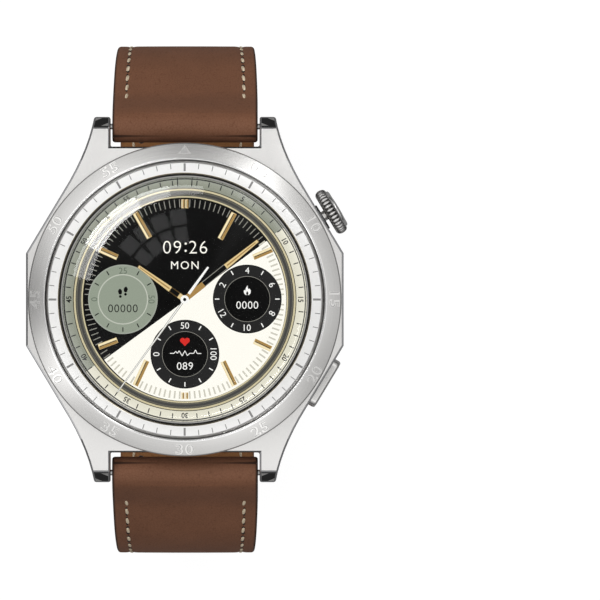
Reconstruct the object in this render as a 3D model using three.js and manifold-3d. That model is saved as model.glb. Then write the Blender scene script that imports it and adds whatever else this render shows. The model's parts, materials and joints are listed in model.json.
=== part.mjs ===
// A round-dial smartwatch on a closed leather strap, in millimetres.
// The origin is the centre of the flat sensor window, which rests on the wrist.
// +Z leaves through the dial, +Y points to 12 o'clock and +X to 3 o'clock.
import * as THREE from 'three';
import { mergeVertices } from 'three/addons/utils/BufferGeometryUtils.js';
import Module from 'manifold-3d';

const wasm = await Module();
wasm.setup();

// ---- Clearances ----
const GAP = 0.3; // between pieces that are cut or seated
const RUN = 0.12; // round pieces that turn in each other

// ---- Display stack, from the crystal outwards ----
const CRYSTAL_R = 17.95;
const CRYSTAL_THICK = 1.2;
const CRYSTAL_DOME = 0.35;
const GASKET_WALL = 0.22;
const GASKET_CLEAR = 0.05;
const RING_CLEAR = 0.23; // between the gasket and the tick ring
const TICK_RING_WIDTH = 1.75;
const TICK_RING_RISE = 0.25; // above the bezel's inner edge
const BEZEL_WIDTH = 2.55;
const BEZEL_SKIRT = 0.9;
const BEZEL_SKIRT_DEPTH = 1.0;
const BEZEL_HEIGHT = 1.55;
const BEZEL_RIM_HEIGHT = 0.75; // at its outer edge
const DISPLAY_THICK = 0.8;
const DISPLAY_EDGE = 0.15; // display inside the crystal's edge
const TICK_RING_INNER_R = CRYSTAL_R + GASKET_CLEAR + GASKET_WALL + RING_CLEAR;
const TICK_RING_OUTER_R = TICK_RING_INNER_R + TICK_RING_WIDTH;
const BEZEL_INNER_R = TICK_RING_OUTER_R + GAP;
const BEZEL_OUTER_R = BEZEL_INNER_R + BEZEL_WIDTH;

// ---- Case ----
const CASE_EDGE = 0.3; // of the flank outside the bezel
const FLANK_HALF = 6.8; // half of the straight flank
const FACET_ANGLE = 31; // facets that carry the crown and the button, from +X, in degrees
const FACET_END = 5.55; // from the bezel's edge back to where the facets end, along Y
const LUG_GAP = 22; // strap width that the lugs take
const LUG_TIP_WIDTH = 2.35;
const LUG_TIP = 1.4; // past the spring bar
const CASE_BOTTOM = 1.4;
const CASE_TOP = 10.4;
const BORE_LEDGE = 1.0; // from the tick ring's edge in to the bore
const BEZEL_OVERHANG = 0.55; // over the wall that faces the strap
const ROLL_CLEAR = 0.65; // between that wall and the strap's roll
const FLARE_X = 0.8; // where each lug's side line bends, out from its tip
const FLARE_Y = 4.5; // and back from its tip
const LUG_SHOULDER = 5; // from the spring bar back to where the lugs start to fall
const LUG_TOP_DROP = 1.5;
const LUG_BEVEL_Y = 1.5;
const LUG_BEVEL_Z = 2.3;
const LUG_UNDER_RISE = 1.5;
const ROLL_R = 2.35; // leather rolled round the spring bar
const CASE_HALF_WIDTH = BEZEL_OUTER_R + CASE_EDGE;
const FACET_END_Y = BEZEL_OUTER_R - FACET_END;
const CASE_BORE_R = TICK_RING_OUTER_R - BORE_LEDGE;
const STRAP_WALL_Y = BEZEL_OUTER_R - BEZEL_OVERHANG;
const BAR_Y = STRAP_WALL_Y + ROLL_CLEAR + ROLL_R;
const LUG_TIP_Y = BAR_Y + LUG_TIP;
const LUG_SHOULDER_Y = BAR_Y - LUG_SHOULDER;
const CROWN_Z = (CASE_BOTTOM + CASE_TOP) / 2;

// ---- Back ----
const BACK_THICK = 1.4;
const BACK_Z = 1.0;
const BACK_BOSS_INSET = 4.7; // from the case's bore
const backBossRISE = 0.55;
const WINDOW_INSET = 3; // from the boss's edge
const WINDOW_THICK = 1.2;
const BACK_GASKET_THICK = 0.8;
const SCREW_INSET = 2.6; // from the case's bore
const SCREW_HEAD_R = 1.1;
const SCREW_HEAD_H = 0.5;
const SCREW_SHANK_R = 0.5;
const SCREW_LENGTH = 2.6;
const CONTACT_R = 0.9;
const CONTACT_PITCH = 2.6;
const CONTACT_LENGTH = 2.0;

// ---- Inside: a SHARE is of the radius of the case's bore ----
const BOARD_INSET = 2.0; // from the case's bore
const BOARD_THICK = 0.7;
const HOLDER_THICK = 0.7;
const HOLDER_INSET = 0.4;
const BATTERY_X_SHARE = 1.04;
const BATTERY_Y_SHARE = 1.09;
const BATTERY_CENTRE_X_SHARE = -0.234;
const SENSOR_BOARD_INSET = 3; // from the window's edge
const SENSOR_BOARD_THICK = 0.6;
const SHIELD_X_SHARE = 0.62;
const SHIELD_Y_SHARE = 0.47;
const SHIELD_Z = 1.0;
const MOTOR_R_SHARE = 0.187;
const MOTOR_X_SHARE = 0.583;
const MOTOR_Y_SHARE = -0.062;
const SPEAKER_X_SHARE = 0.52;
const SPEAKER_Y_SHARE = 0.24;
const MIC_X_SHARE = 0.18;
const MIC_Y_SHARE = 0.135;
const MIC_Z = 1.1;
const ANTENNA_INSET = 0.7;
const ANTENNA_THICK = 0.35;
const ANTENNA_HEIGHT = 2.4;
const ANTENNA_START = 105;
const ANTENNA_SWEEP = 70;

// ---- Crown ----
const KNOB_R = 3.55;
const KNOB_THICK = 1.75;
const KNOB_RIDGES = 30;
const RIDGE_DEPTH = 0.16;
const CAP_R = 2.95;
const CAP_THICK = 0.55;
const TUBE_R = 1.7;
const TUBE_INSET = 0.7; // from the bore's wall back to the tube's end
const TUBE_PROUD = 0.1;
const STEM_R = 0.75;
const STEM_PAST = 0.9; // into the case, past the bore's wall
const SEAL_WALL = 0.35;
const CROWN_TRAVEL = 0.4; // when pressed
const SWITCH_SIDE = 3.0;
const SWITCH_DEPTH = 1.4;
const SWITCH_CLEAR = 0.1; // left at full press

// ---- Side button ----
const BUTTON_LENGTH = 7.8;
const BUTTON_HEIGHT = 2.2;
const BUTTON_PROUD = 1.0;
const BUTTON_SINK = 1.2; // depth of the pill in its pocket
const BUTTON_STEM_R = 0.7;
const BUTTON_STEM_PAST = 0.1; // into the case, past the bore's wall
const BUTTON_TRAVEL = 0.35; // when pressed

// ---- Spring bars ----
const BAR_DROP = 0.7; // below the middle of the case's side
const BAR_R = 0.85;
const BAR_WALL = 0.3;
const PIVOT_R = 0.42;
const PIVOT_REACH = 0.75; // into each lug
const PIVOT_HOLE_EXTRA = 0.35;
const PLUNGER_LENGTH = 5.0;
const RELEASE_TRAVEL = 1.2;
const LEVER_INSET = 4.5; // from the lug in to the lever
const LEVER_R = 0.4;
const LEVER_LENGTH = 2.9;
const BORE_INSET = 7; // from the lug in to where the plunger's bore ends
const BAR_END_GAP = 0.4; // from the tube's end to the lug

// ---- Strap ----
const STRAP_LUG_WIDTH = LUG_GAP - 2 * GAP;
const STRAP_WIDTH = 20;
const TAPER_TOP_Z = 3;
const TAPER_END_Z = -20;
const ROLL_BLEND = 7; // where the roll has run out into the strap
const OUTER_THICK = 1.15; // leather, outwards from the strap's middle
const INNER_THICK = 0.85; // lining, inwards
const PLY_GAP = 0.1;
const EXIT_ANGLE = 52; // below level, where the strap leaves the lugs
const EXIT_RUN = 12;
const SHOULDER_R = 17;
const CORNER_R = 19;
const LINING_START = 4.4;
const ROUTE_STEP = 2.2; // distance between sampled places along the strap

// ---- Buckle closure, on the straight bottom stretch ----
const STACK_GAP = 0.35; // between the buckle's roll and the tail
const BUCKLE_ROLL_R = 1.9;
const BUCKLE_BAR_R = 0.8;
const BUCKLE_Y = 0;
const FRAME_REACH = 10; // from the buckle bar to the frame's cross bar
const FRAME_BAR_R = 0.9;
const FRAME_SIDE = 1.6;
const FRAME_BOSS_R = 1.75;
const FRAME_SIDE_GAP = 0.4; // from the tail's edge
const PRONG_WIDTH = 1.4;
const PRONG_THICK = 0.7;
const PRONG_RING_R = 1.6;
const PRONG_DROP_Y = 3.6; // where the prong starts down through its hole
const PRONG_FOOT_Y = 6.2; // where it has come through
const PRONG_PAST = 1.0; // past the cross bar
const PRONG_LOW = 1.85; // middle of its tip, under the tail
const PRONG_NOTCH = 0.3;
const KEEPER_THICK = 1.6;
const KEEPER_SIDE = 1.2;
const KEEPER_TOP = 1.0;
const KEEPER_WIDTH = 4.5;
const FIXED_KEEPER_Y = 4.6;
const FREE_KEEPER_Y = 12.6;
const STRAIGHT_END_Y = 17.5;
const TAIL_CURL = 20; // length of tail past the straight stretch
const HOLE_WIDTH = 2.1;
const HOLE_LENGTH = 3.4;
const HOLE_PITCH = 6.2;
const HOLES_TO_TIP = 3;
const HOLES_TO_LUG = 3;

// ---- Facets on round shapes ----
const FINE = 60;
const MEDIUM = 28;
const COARSE = 16;

// ---- Colours ----
const steel = { color: 0xc9cbce, metalness: 1, roughness: 0.3 };
const darkPlastic = { color: 0x1b1c1e, metalness: 0, roughness: 0.5 };
const black = { color: 0x08080a, metalness: 0, roughness: 0.25 };
const glass = { color: 0x9fb4bd, metalness: 0, roughness: 0.05 };
const rubber = { color: 0x141414, metalness: 0, roughness: 0.85 };
const brown = { color: 0x5c4033, metalness: 0, roughness: 0.6 };
const tan = { color: 0x9a5a28, metalness: 0, roughness: 0.7 };
const green = { color: 0x1f5a3a, metalness: 0, roughness: 0.6 };
const gold = { color: 0xd2ac5a, metalness: 1, roughness: 0.35 };
const foil = { color: 0x8f949a, metalness: 0.4, roughness: 0.5 };

// ---- Ways of making solids ----

/** A closed three.js geometry as a solid that can be cut and joined. */
function toSolid(geometry) {
  const bare = geometry.index ? geometry.clone() : mergeVertices(geometry.clone());
  bare.deleteAttribute('normal');
  bare.deleteAttribute('uv');
  const merged = mergeVertices(bare, 1e-4);
  const vertProperties = new Float32Array(merged.attributes.position.array);
  const triVerts = new Uint32Array(merged.index.array);
  return new wasm.Manifold(new wasm.Mesh({ numProp: 3, vertProperties, triVerts }));
}

/** A solid back as a three.js geometry. */
function toGeometry(solid) {
  const mesh = solid.getMesh();
  const geometry = new THREE.BufferGeometry();
  geometry.setAttribute('position', new THREE.BufferAttribute(new Float32Array(mesh.vertProperties), 3));
  geometry.setIndex(new THREE.BufferAttribute(new Uint32Array(mesh.triVerts), 1));
  geometry.computeVertexNormals();
  return geometry;
}

/** base with every tool cut away. */
function cut(base, ...tools) {
  return toGeometry(tools.reduce((solid, tool) => solid.subtract(toSolid(tool)), toSolid(base)));
}

/** base with every other geometry joined to it. */
function join(base, ...others) {
  return toGeometry(others.reduce((solid, other) => solid.add(toSolid(other)), toSolid(base)));
}

/** The common part of two geometries. */
function common(a, b) {
  return toGeometry(toSolid(a).intersect(toSolid(b)));
}

/** A profile of [radius, z] points, anticlockwise, turned about Z. */
function turned(points, segments = FINE) {
  const closed = [...points, points[0]].map(([r, z]) => new THREE.Vector2(r, z));
  return new THREE.LatheGeometry(closed, segments).rotateX(Math.PI / 2);
}

/** A flat ring or, with no hole, a disc, between two heights. */
function ring(outer, inner, low, high, segments = FINE) {
  if (inner > 0) return turned([[inner, low], [outer, low], [outer, high], [inner, high]], segments);
  const disc = new THREE.CylinderGeometry(outer, outer, high - low, segments);
  return disc.rotateX(Math.PI / 2).translate(0, 0, (low + high) / 2);
}

/** A box between two heights, centred on (x, y). */
function block(x, y, width, length, low, high) {
  return new THREE.BoxGeometry(width, length, high - low).translate(x, y, (low + high) / 2);
}

/** A cylinder along X between two places, centred on (y, z). */
function barX(radius, from, to, y, z, segments = COARSE) {
  const bar = new THREE.CylinderGeometry(radius, radius, to - from, segments);
  return bar.rotateZ(-Math.PI / 2).translate((from + to) / 2, y, z);
}

/** A shape in the Y-Z plane carried along X between two places. */
function alongX(shape, from, to) {
  const geometry = new THREE.ExtrudeGeometry(shape, { depth: to - from, bevelEnabled: false });
  const turn = new THREE.Matrix4().makeBasis(
    new THREE.Vector3(0, 1, 0),
    new THREE.Vector3(0, 0, 1),
    new THREE.Vector3(1, 0, 0),
  );
  return geometry.applyMatrix4(turn).translate(from, 0, 0);
}

/** A geometry made along +Z, laid along a facet's outward normal, out at that distance. */
function onFacet(geometry, angle, distance, z) {
  const radians = THREE.MathUtils.degToRad(angle);
  const out = new THREE.Vector3(Math.cos(radians), Math.sin(radians), 0);
  const up = new THREE.Vector3(0, 0, 1);
  const side = new THREE.Vector3().crossVectors(up, out);
  const turn = new THREE.Matrix4().makeBasis(side, up, out);
  return geometry.applyMatrix4(turn).translate(out.x * distance, out.y * distance, z);
}

/** A rounded bar outline, centred, of that length and height. */
function pill(length, height) {
  const half = length / 2 - height / 2;
  const shape = new THREE.Shape();
  shape.absarc(half, 0, height / 2, -Math.PI / 2, Math.PI / 2);
  shape.absarc(-half, 0, height / 2, Math.PI / 2, Math.PI * 1.5);
  shape.closePath();
  return shape;
}

function extrudeFrom(shape, low, high, curveSegments = 8) {
  const options = { depth: high - low, bevelEnabled: false, curveSegments };
  return new THREE.ExtrudeGeometry(shape, options).translate(0, 0, low);
}

const watch = new THREE.Group();

/** Adds one named piece to the watch. */
function piece(name, geometry, look) {
  const mesh = new THREE.Mesh(geometry, new THREE.MeshStandardMaterial(look));
  mesh.name = name;
  watch.add(mesh);
  return mesh;
}

// ---- Derived places ----
const KNOB_STANDOFF = CROWN_TRAVEL + GAP; // from the facet to the knob
const facetRadians = THREE.MathUtils.degToRad(FACET_ANGLE);
const FACET_DISTANCE = CASE_HALF_WIDTH * Math.cos(facetRadians) + FLANK_HALF * Math.sin(facetRadians);
const facetEndX = (FACET_DISTANCE - FACET_END_Y * Math.sin(facetRadians)) / Math.cos(facetRadians);
const lugTipX = LUG_GAP / 2 + LUG_TIP_WIDTH;
const bezelBase = CASE_TOP + GAP;
const bezelTop = bezelBase + BEZEL_HEIGHT;
const crystalTop = bezelTop + TICK_RING_RISE;
const crystalBase = crystalTop - CRYSTAL_THICK;
const displayTop = crystalBase - GAP;
const displayBase = displayTop - DISPLAY_THICK;
const holderTop = displayBase - GAP;
const boardTop = holderTop - HOLDER_THICK - SHIELD_Z - 2 * GAP;
const boardBase = boardTop - BOARD_THICK;
const backTop = BACK_Z + BACK_THICK;
const sensorBoardTop = backTop + GAP + SENSOR_BOARD_THICK;
const batteryBase = sensorBoardTop + GAP;
const backBossR = CASE_BORE_R - BACK_BOSS_INSET;
const windowR = backBossR - WINDOW_INSET;
const sensorBoardR = windowR - SENSOR_BOARD_INSET;
const contactY = -(backBossR + windowR) / 2;
const holderR = CASE_BORE_R - HOLDER_INSET;
const boardR = CASE_BORE_R - BOARD_INSET;
const antennaR = CASE_BORE_R - ANTENNA_INSET;
const screwCircleR = CASE_BORE_R - SCREW_INSET;
const batteryX = CASE_BORE_R * BATTERY_X_SHARE;
const batteryY = CASE_BORE_R * BATTERY_Y_SHARE;
const batteryCentreX = CASE_BORE_R * BATTERY_CENTRE_X_SHARE;
const shieldX = CASE_BORE_R * SHIELD_X_SHARE;
const shieldY = CASE_BORE_R * SHIELD_Y_SHARE;
const motorR = CASE_BORE_R * MOTOR_R_SHARE;
const motorX = CASE_BORE_R * MOTOR_X_SHARE;
const motorY = CASE_BORE_R * MOTOR_Y_SHARE;
const speakerX = CASE_BORE_R * SPEAKER_X_SHARE;
const speakerWide = CASE_BORE_R * SPEAKER_Y_SHARE;
const micX = CASE_BORE_R * MIC_X_SHARE;
const micWide = CASE_BORE_R * MIC_Y_SHARE;
const facetWall = FACET_DISTANCE - CASE_BORE_R; // metal between a facet and the bore
const tubeLength = facetWall - TUBE_INSET;
const stemReach = facetWall + STEM_PAST;
const buttonStemReach = facetWall + BUTTON_STEM_PAST;
const BAR_Z = CROWN_Z - BAR_DROP;
const leverX = -(LUG_GAP / 2 - LEVER_INSET);
const boreEndX = -(LUG_GAP / 2 - BORE_INSET);

// ---- Case ----

/** Plan outline: straight flanks, four facets, and sides that draw in to the lug tips. */
function caseOutline() {
  const shape = new THREE.Shape();
  shape.moveTo(CASE_HALF_WIDTH, -FLANK_HALF);
  shape.lineTo(CASE_HALF_WIDTH, FLANK_HALF);
  shape.lineTo(facetEndX, FACET_END_Y);
  shape.quadraticCurveTo(lugTipX + FLARE_X, LUG_TIP_Y - FLARE_Y, lugTipX, LUG_TIP_Y);
  shape.lineTo(-lugTipX, LUG_TIP_Y);
  shape.quadraticCurveTo(-lugTipX - FLARE_X, LUG_TIP_Y - FLARE_Y, -facetEndX, FACET_END_Y);
  shape.lineTo(-CASE_HALF_WIDTH, FLANK_HALF);
  shape.lineTo(-CASE_HALF_WIDTH, -FLANK_HALF);
  shape.lineTo(-facetEndX, -FACET_END_Y);
  shape.quadraticCurveTo(-lugTipX - FLARE_X, -LUG_TIP_Y + FLARE_Y, -lugTipX, -LUG_TIP_Y);
  shape.lineTo(lugTipX, -LUG_TIP_Y);
  shape.quadraticCurveTo(lugTipX + FLARE_X, -LUG_TIP_Y + FLARE_Y, facetEndX, -FACET_END_Y);
  shape.closePath();
  return shape;
}

/** Side outline: level over the dial, falling to the lugs, with a bevelled tip. */
function caseSide() {
  const half = [
    [LUG_SHOULDER_Y, CASE_TOP],
    [LUG_TIP_Y - LUG_BEVEL_Y, CASE_TOP - LUG_TOP_DROP],
    [LUG_TIP_Y + GAP, CASE_TOP - LUG_TOP_DROP - LUG_BEVEL_Z],
    [LUG_TIP_Y + GAP, CASE_BOTTOM + LUG_UNDER_RISE],
    [LUG_SHOULDER_Y, CASE_BOTTOM],
  ];
  const mirrored = half.map(([y, z]) => [-y, z]).reverse();
  const points = [...mirrored.slice(0), ...half].map(([y, z]) => new THREE.Vector2(y, z));
  return new THREE.Shape(points);
}

/** The steel case: one block with its lugs, bored through and cut for what it holds. */
function midCase() {
  const body = extrudeFrom(caseOutline(), CASE_BOTTOM - 1, CASE_TOP + 1, 6);
  const side = alongX(caseSide(), -CASE_HALF_WIDTH - 1, CASE_HALF_WIDTH + 1);
  const bore = ring(CASE_BORE_R, 0, CASE_BOTTOM - 2, CASE_TOP + 2);
  const skirtSeat = ring(
    BEZEL_INNER_R + BEZEL_SKIRT + GAP, 0, bezelBase - BEZEL_SKIRT_DEPTH - GAP, CASE_TOP + 2,
  );
  const strapRoom = [1, -1].map((sign) => {
    const length = LUG_TIP_Y - STRAP_WALL_Y + 4;
    return block(0, sign * (STRAP_WALL_Y + length / 2), LUG_GAP, length, -2, CASE_TOP + 2);
  });
  const holeEnd = LUG_GAP / 2 + PIVOT_REACH + PIVOT_HOLE_EXTRA;
  const pivotHoles = [1, -1].map((sign) =>
    barX(PIVOT_R + GAP, -holeEnd, holeEnd, sign * BAR_Y, BAR_Z));
  const crownHole = onFacet(
    ring(TUBE_R + GAP, 0, -tubeLength - 2, 2, MEDIUM), FACET_ANGLE, FACET_DISTANCE, CROWN_Z,
  );
  const pocketShape = pill(BUTTON_LENGTH + 2 * GAP, BUTTON_HEIGHT + 2 * GAP);
  const pocket = onFacet(
    extrudeFrom(pocketShape, -BUTTON_SINK - BUTTON_TRAVEL - GAP, 2), -FACET_ANGLE, FACET_DISTANCE, CROWN_Z,
  );
  const buttonHole = onFacet(
    ring(BUTTON_STEM_R + GAP, 0, -buttonStemReach - 2, 0, COARSE),
    -FACET_ANGLE, FACET_DISTANCE, CROWN_Z,
  );
  return cut(
    common(body, side), bore, skirtSeat, ...strapRoom, ...pivotHoles, crownHole, pocket, buttonHole,
  );
}

piece('mid_case', midCase(), steel);

// ---- Bezel, tick ring, crystal, gasket, display ----
const skirtLow = bezelBase - BEZEL_SKIRT_DEPTH;
piece('outer_bezel', turned([
  [BEZEL_INNER_R, skirtLow],
  [BEZEL_INNER_R + BEZEL_SKIRT, skirtLow],
  [BEZEL_INNER_R + BEZEL_SKIRT, bezelBase],
  [BEZEL_OUTER_R, bezelBase],
  [BEZEL_OUTER_R, bezelBase + BEZEL_RIM_HEIGHT],
  [BEZEL_INNER_R + 0.4, bezelTop],
  [BEZEL_INNER_R, bezelTop - 0.3],
]), steel);
piece('tick_ring', turned([
  [TICK_RING_INNER_R, displayBase],
  [TICK_RING_OUTER_R, displayBase],
  [TICK_RING_OUTER_R, bezelTop - 0.15],
  [TICK_RING_INNER_R + 0.2, crystalTop],
  [TICK_RING_INNER_R, crystalTop - 0.15],
]), steel);
const gasketInner = CRYSTAL_R + GASKET_CLEAR;
piece('crystal_gasket', ring(
  gasketInner + GASKET_WALL, gasketInner, crystalBase, crystalTop - 0.25,
), rubber);

/** The crystal: a flat-backed disc with a shallow dome. */
function crystal() {
  const points = [new THREE.Vector2(0, crystalBase), new THREE.Vector2(CRYSTAL_R, crystalBase)];
  const steps = 6;
  for (let i = 0; i <= steps; i += 1) {
    const share = 1 - i / steps;
    const rise = CRYSTAL_DOME * (1 - share * share);
    points.push(new THREE.Vector2(CRYSTAL_R * share, crystalTop - 0.2 + rise));
  }
  return new THREE.LatheGeometry(points, FINE).rotateX(Math.PI / 2);
}

piece('crystal', crystal(), glass);
piece('display_panel', ring(CRYSTAL_R - DISPLAY_EDGE, 0, displayBase, displayTop), black);

// ---- Inside the case ----
piece('display_holder', cut(
  ring(holderR, 0, holderTop - HOLDER_THICK, holderTop),
  block(0, -holderR * 0.6, 8, 3, 0, holderTop + 1),
), darkPlastic);
piece('main_board', cut(
  ring(boardR, 0, boardBase, boardTop),
  onFacet(block(0, 0, 7, 12, -5, 5), FACET_ANGLE, boardR + 1.5, boardTop),
  onFacet(block(0, 0, 7, 12, -4, 4), -FACET_ANGLE, boardR + 1.5, boardTop),
), green);
piece('shield_can', block(
  -shieldX / 3, shieldY / 3, shieldX, shieldY, boardTop + GAP, boardTop + GAP + SHIELD_Z,
), foil);
piece('battery', block(
  batteryCentreX, 0, batteryX, batteryY, batteryBase, boardBase - GAP,
), foil);
piece('vibration_motor', ring(motorR, 0, batteryBase, boardBase - GAP, MEDIUM)
  .translate(motorX, motorY, 0), steel);
const speakerY = -(batteryY / 2 + GAP + speakerWide / 2);
piece('speaker', block(0, speakerY, speakerX, speakerWide, batteryBase, boardBase - GAP), darkPlastic);
const micY = batteryY / 2 + GAP + micWide / 2;
piece('microphone', block(0, micY, micX, micWide, boardBase - GAP - MIC_Z, boardBase - GAP), steel);

/** The antenna: a thin strip round part of the case's inside. */
function antenna() {
  const from = THREE.MathUtils.degToRad(ANTENNA_START);
  const to = THREE.MathUtils.degToRad(ANTENNA_START + ANTENNA_SWEEP);
  const shape = new THREE.Shape();
  shape.absarc(0, 0, antennaR, from, to);
  shape.absarc(0, 0, antennaR - ANTENNA_THICK, to, from, true);
  shape.closePath();
  const low = holderTop - HOLDER_THICK - GAP - ANTENNA_HEIGHT;
  return extrudeFrom(shape, low, low + ANTENNA_HEIGHT, 16);
}

piece('antenna', antenna(), gold);

// ---- Back ----
const backR = CASE_BORE_R - GAP;
const backLow = BACK_Z - backBossRISE;
const screwAngles = [45, 135, 225, 315].map(THREE.MathUtils.degToRad);
const screwPlaces = screwAngles.map((a) => [screwCircleR * Math.cos(a), screwCircleR * Math.sin(a)]);
const contactPlaces = [-CONTACT_PITCH / 2, CONTACT_PITCH / 2].map((x) => [x, contactY]);

/** The back cover: a plate with a raised middle that holds the window. */
function backCover() {
  const plate = turned([
    [windowR - 1.5, BACK_Z],
    [windowR - 1.5, WINDOW_THICK + GAP],
    [windowR + GAP, WINDOW_THICK + GAP],
    [windowR + GAP, backLow],
    [backBossR, backLow],
    [backBossR + 0.6, BACK_Z],
    [backR, BACK_Z],
    [backR, backTop],
    [windowR - 1.5, backTop],
  ].slice(1));
  const screwHoles = screwPlaces.map(([x, y]) => join(
    ring(SCREW_SHANK_R + GAP, 0, 0, backTop + 1, COARSE).translate(x, y, 0),
    ring(SCREW_HEAD_R + GAP, 0, -1, BACK_Z + SCREW_HEAD_H + GAP, COARSE).translate(x, y, 0),
  ));
  const contactHoles = contactPlaces.map(([x, y]) =>
    ring(CONTACT_R + GAP / 2, 0, -1, backTop + 1, COARSE).translate(x, y, 0));
  return cut(plate, ...screwHoles, ...contactHoles);
}

piece('back_cover', backCover(), darkPlastic);
piece('sensor_window', ring(windowR, 0, 0, WINDOW_THICK), glass);
piece('sensor_board', ring(sensorBoardR, 0, backTop + GAP, sensorBoardTop, MEDIUM), green);
const gasketOuter = CASE_BORE_R - GAP;
piece('back_gasket', ring(
  gasketOuter, gasketOuter - 0.7, backTop + GAP, backTop + GAP + BACK_GASKET_THICK, FINE,
), rubber);
screwPlaces.forEach(([x, y], i) => {
  const head = ring(SCREW_HEAD_R, 0, BACK_Z, BACK_Z + SCREW_HEAD_H, COARSE);
  const shank = ring(SCREW_SHANK_R, 0, BACK_Z + SCREW_HEAD_H / 2, BACK_Z + SCREW_LENGTH, COARSE);
  piece(`back_screw_${i + 1}`, join(head, shank).translate(x, y, 0), steel);
});
contactPlaces.forEach(([x, y], i) => {
  const pin = ring(CONTACT_R, 0, backLow - 0.05, backLow + CONTACT_LENGTH, COARSE);
  piece(`charge_contact_${i + 1}`, pin.translate(x, y, 0), gold);
});

// ---- Crown ----
/** A piece turned about the crown's axis, with 0 on the facet. */
function onCrown(geometry) {
  return onFacet(geometry, FACET_ANGLE, FACET_DISTANCE, CROWN_Z);
}

/** The knob: a disc whose rim carries pointed ridges, hollow on its outer face for the cap. */
function knob() {
  const shape = new THREE.Shape();
  for (let i = 0; i < KNOB_RIDGES * 2; i += 1) {
    const angle = (i * Math.PI) / KNOB_RIDGES;
    const radius = i % 2 ? KNOB_R - RIDGE_DEPTH : KNOB_R;
    const point = [radius * Math.cos(angle), radius * Math.sin(angle)];
    if (i === 0) shape.moveTo(...point);
    else shape.lineTo(...point);
  }
  shape.closePath();
  const bore = new THREE.Path();
  bore.absarc(0, 0, STEM_R + RUN, 0, Math.PI * 2, true);
  shape.holes.push(bore);
  const body = extrudeFrom(shape, KNOB_STANDOFF, KNOB_STANDOFF + KNOB_THICK, 10);
  const seatLow = KNOB_STANDOFF + KNOB_THICK - CAP_THICK / 2;
  const capSeat = ring(CAP_R + GAP / 2, 0, seatLow, seatLow + 3, MEDIUM);
  return cut(body, capSeat);
}

const capLow = KNOB_STANDOFF + KNOB_THICK - CAP_THICK / 2 + RUN;
piece('crown_knob', onCrown(knob()), steel);
piece('crown_cap', onCrown(new THREE.LatheGeometry([
  new THREE.Vector2(0, capLow),
  new THREE.Vector2(CAP_R, capLow),
  new THREE.Vector2(CAP_R, capLow + CAP_THICK * 0.6),
  new THREE.Vector2(CAP_R * 0.8, capLow + CAP_THICK),
  new THREE.Vector2(0, capLow + CAP_THICK * 1.15),
], MEDIUM).rotateX(Math.PI / 2)), steel);
piece('crown_stem', onCrown(ring(STEM_R, 0, -stemReach, capLow - RUN, COARSE)), steel);
piece('crown_tube', onCrown(ring(
  TUBE_R, STEM_R + SEAL_WALL + GAP, -tubeLength, TUBE_PROUD, MEDIUM,
)), steel);
piece('crown_seal', onCrown(ring(
  STEM_R + SEAL_WALL + RUN / 2, STEM_R + RUN / 2, -tubeLength * 0.6, -tubeLength * 0.6 + 0.8, COARSE,
)), rubber);
const crownSwitchOut = -stemReach - CROWN_TRAVEL - SWITCH_CLEAR;
piece('crown_switch', onCrown(block(
  0, 0, SWITCH_SIDE, SWITCH_SIDE, crownSwitchOut - SWITCH_DEPTH, crownSwitchOut,
)), darkPlastic);

// ---- Side button ----
function onButton(geometry) {
  return onFacet(geometry, -FACET_ANGLE, FACET_DISTANCE, CROWN_Z);
}

piece('side_button', onButton(join(
  extrudeFrom(pill(BUTTON_LENGTH, BUTTON_HEIGHT), -BUTTON_SINK, BUTTON_PROUD),
  ring(BUTTON_STEM_R, 0, -buttonStemReach, -BUTTON_SINK + 0.1, COARSE),
)), steel);
const buttonSwitchOut = -buttonStemReach - BUTTON_TRAVEL - SWITCH_CLEAR;
piece('button_switch', onButton(block(
  0, 0, SWITCH_SIDE, SWITCH_SIDE, buttonSwitchOut - SWITCH_DEPTH, buttonSwitchOut,
)), darkPlastic);

// ---- Strap route, in the Y-Z plane, for the 12 o'clock side ----
const exitRadians = THREE.MathUtils.degToRad(EXIT_ANGLE);
const shoulderStart = new THREE.Vector2(
  BAR_Y + EXIT_RUN * Math.cos(exitRadians),
  BAR_Z - EXIT_RUN * Math.sin(exitRadians),
);
const shoulderCentre = new THREE.Vector2(
  shoulderStart.x - SHOULDER_R * Math.sin(exitRadians),
  shoulderStart.y - SHOULDER_R * Math.cos(exitRadians),
);
const loopHalf = shoulderCentre.x + SHOULDER_R; // strap's middle at its widest
const cornerRadius = loopHalf - STRAIGHT_END_Y;
const bottom12 = shoulderCentre.y - CORNER_R; // middle of the buckle half on the bottom
const buckleBarZ = bottom12 - OUTER_THICK + BUCKLE_ROLL_R;
const tailTop = bottom12 - OUTER_THICK - STACK_GAP;
const bottom6 = tailTop - INNER_THICK; // middle of the tail half on the bottom
const tailLow = bottom6 - OUTER_THICK;

/** Sampled strap route from the spring bar: place, outward normal and distance along it. */
function route(bottom, past) {
  const path = new THREE.CurvePath();
  const corner = new THREE.Vector2(STRAIGHT_END_Y, bottom + CORNER_R);
  path.add(new THREE.LineCurve(new THREE.Vector2(BAR_Y, BAR_Z), shoulderStart));
  path.add(new THREE.EllipseCurve(
    shoulderCentre.x, shoulderCentre.y, SHOULDER_R, SHOULDER_R, Math.PI / 2 - exitRadians, 0, true,
  ));
  if (corner.y < shoulderCentre.y - 0.01) {
    path.add(new THREE.LineCurve(
      new THREE.Vector2(loopHalf, shoulderCentre.y), new THREE.Vector2(loopHalf, corner.y),
    ));
  }
  path.add(new THREE.EllipseCurve(corner.x, corner.y, cornerRadius, CORNER_R, 0, -Math.PI / 2, true));
  path.add(new THREE.LineCurve(new THREE.Vector2(STRAIGHT_END_Y, bottom), new THREE.Vector2(past, bottom)));
  return path;
}

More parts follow.
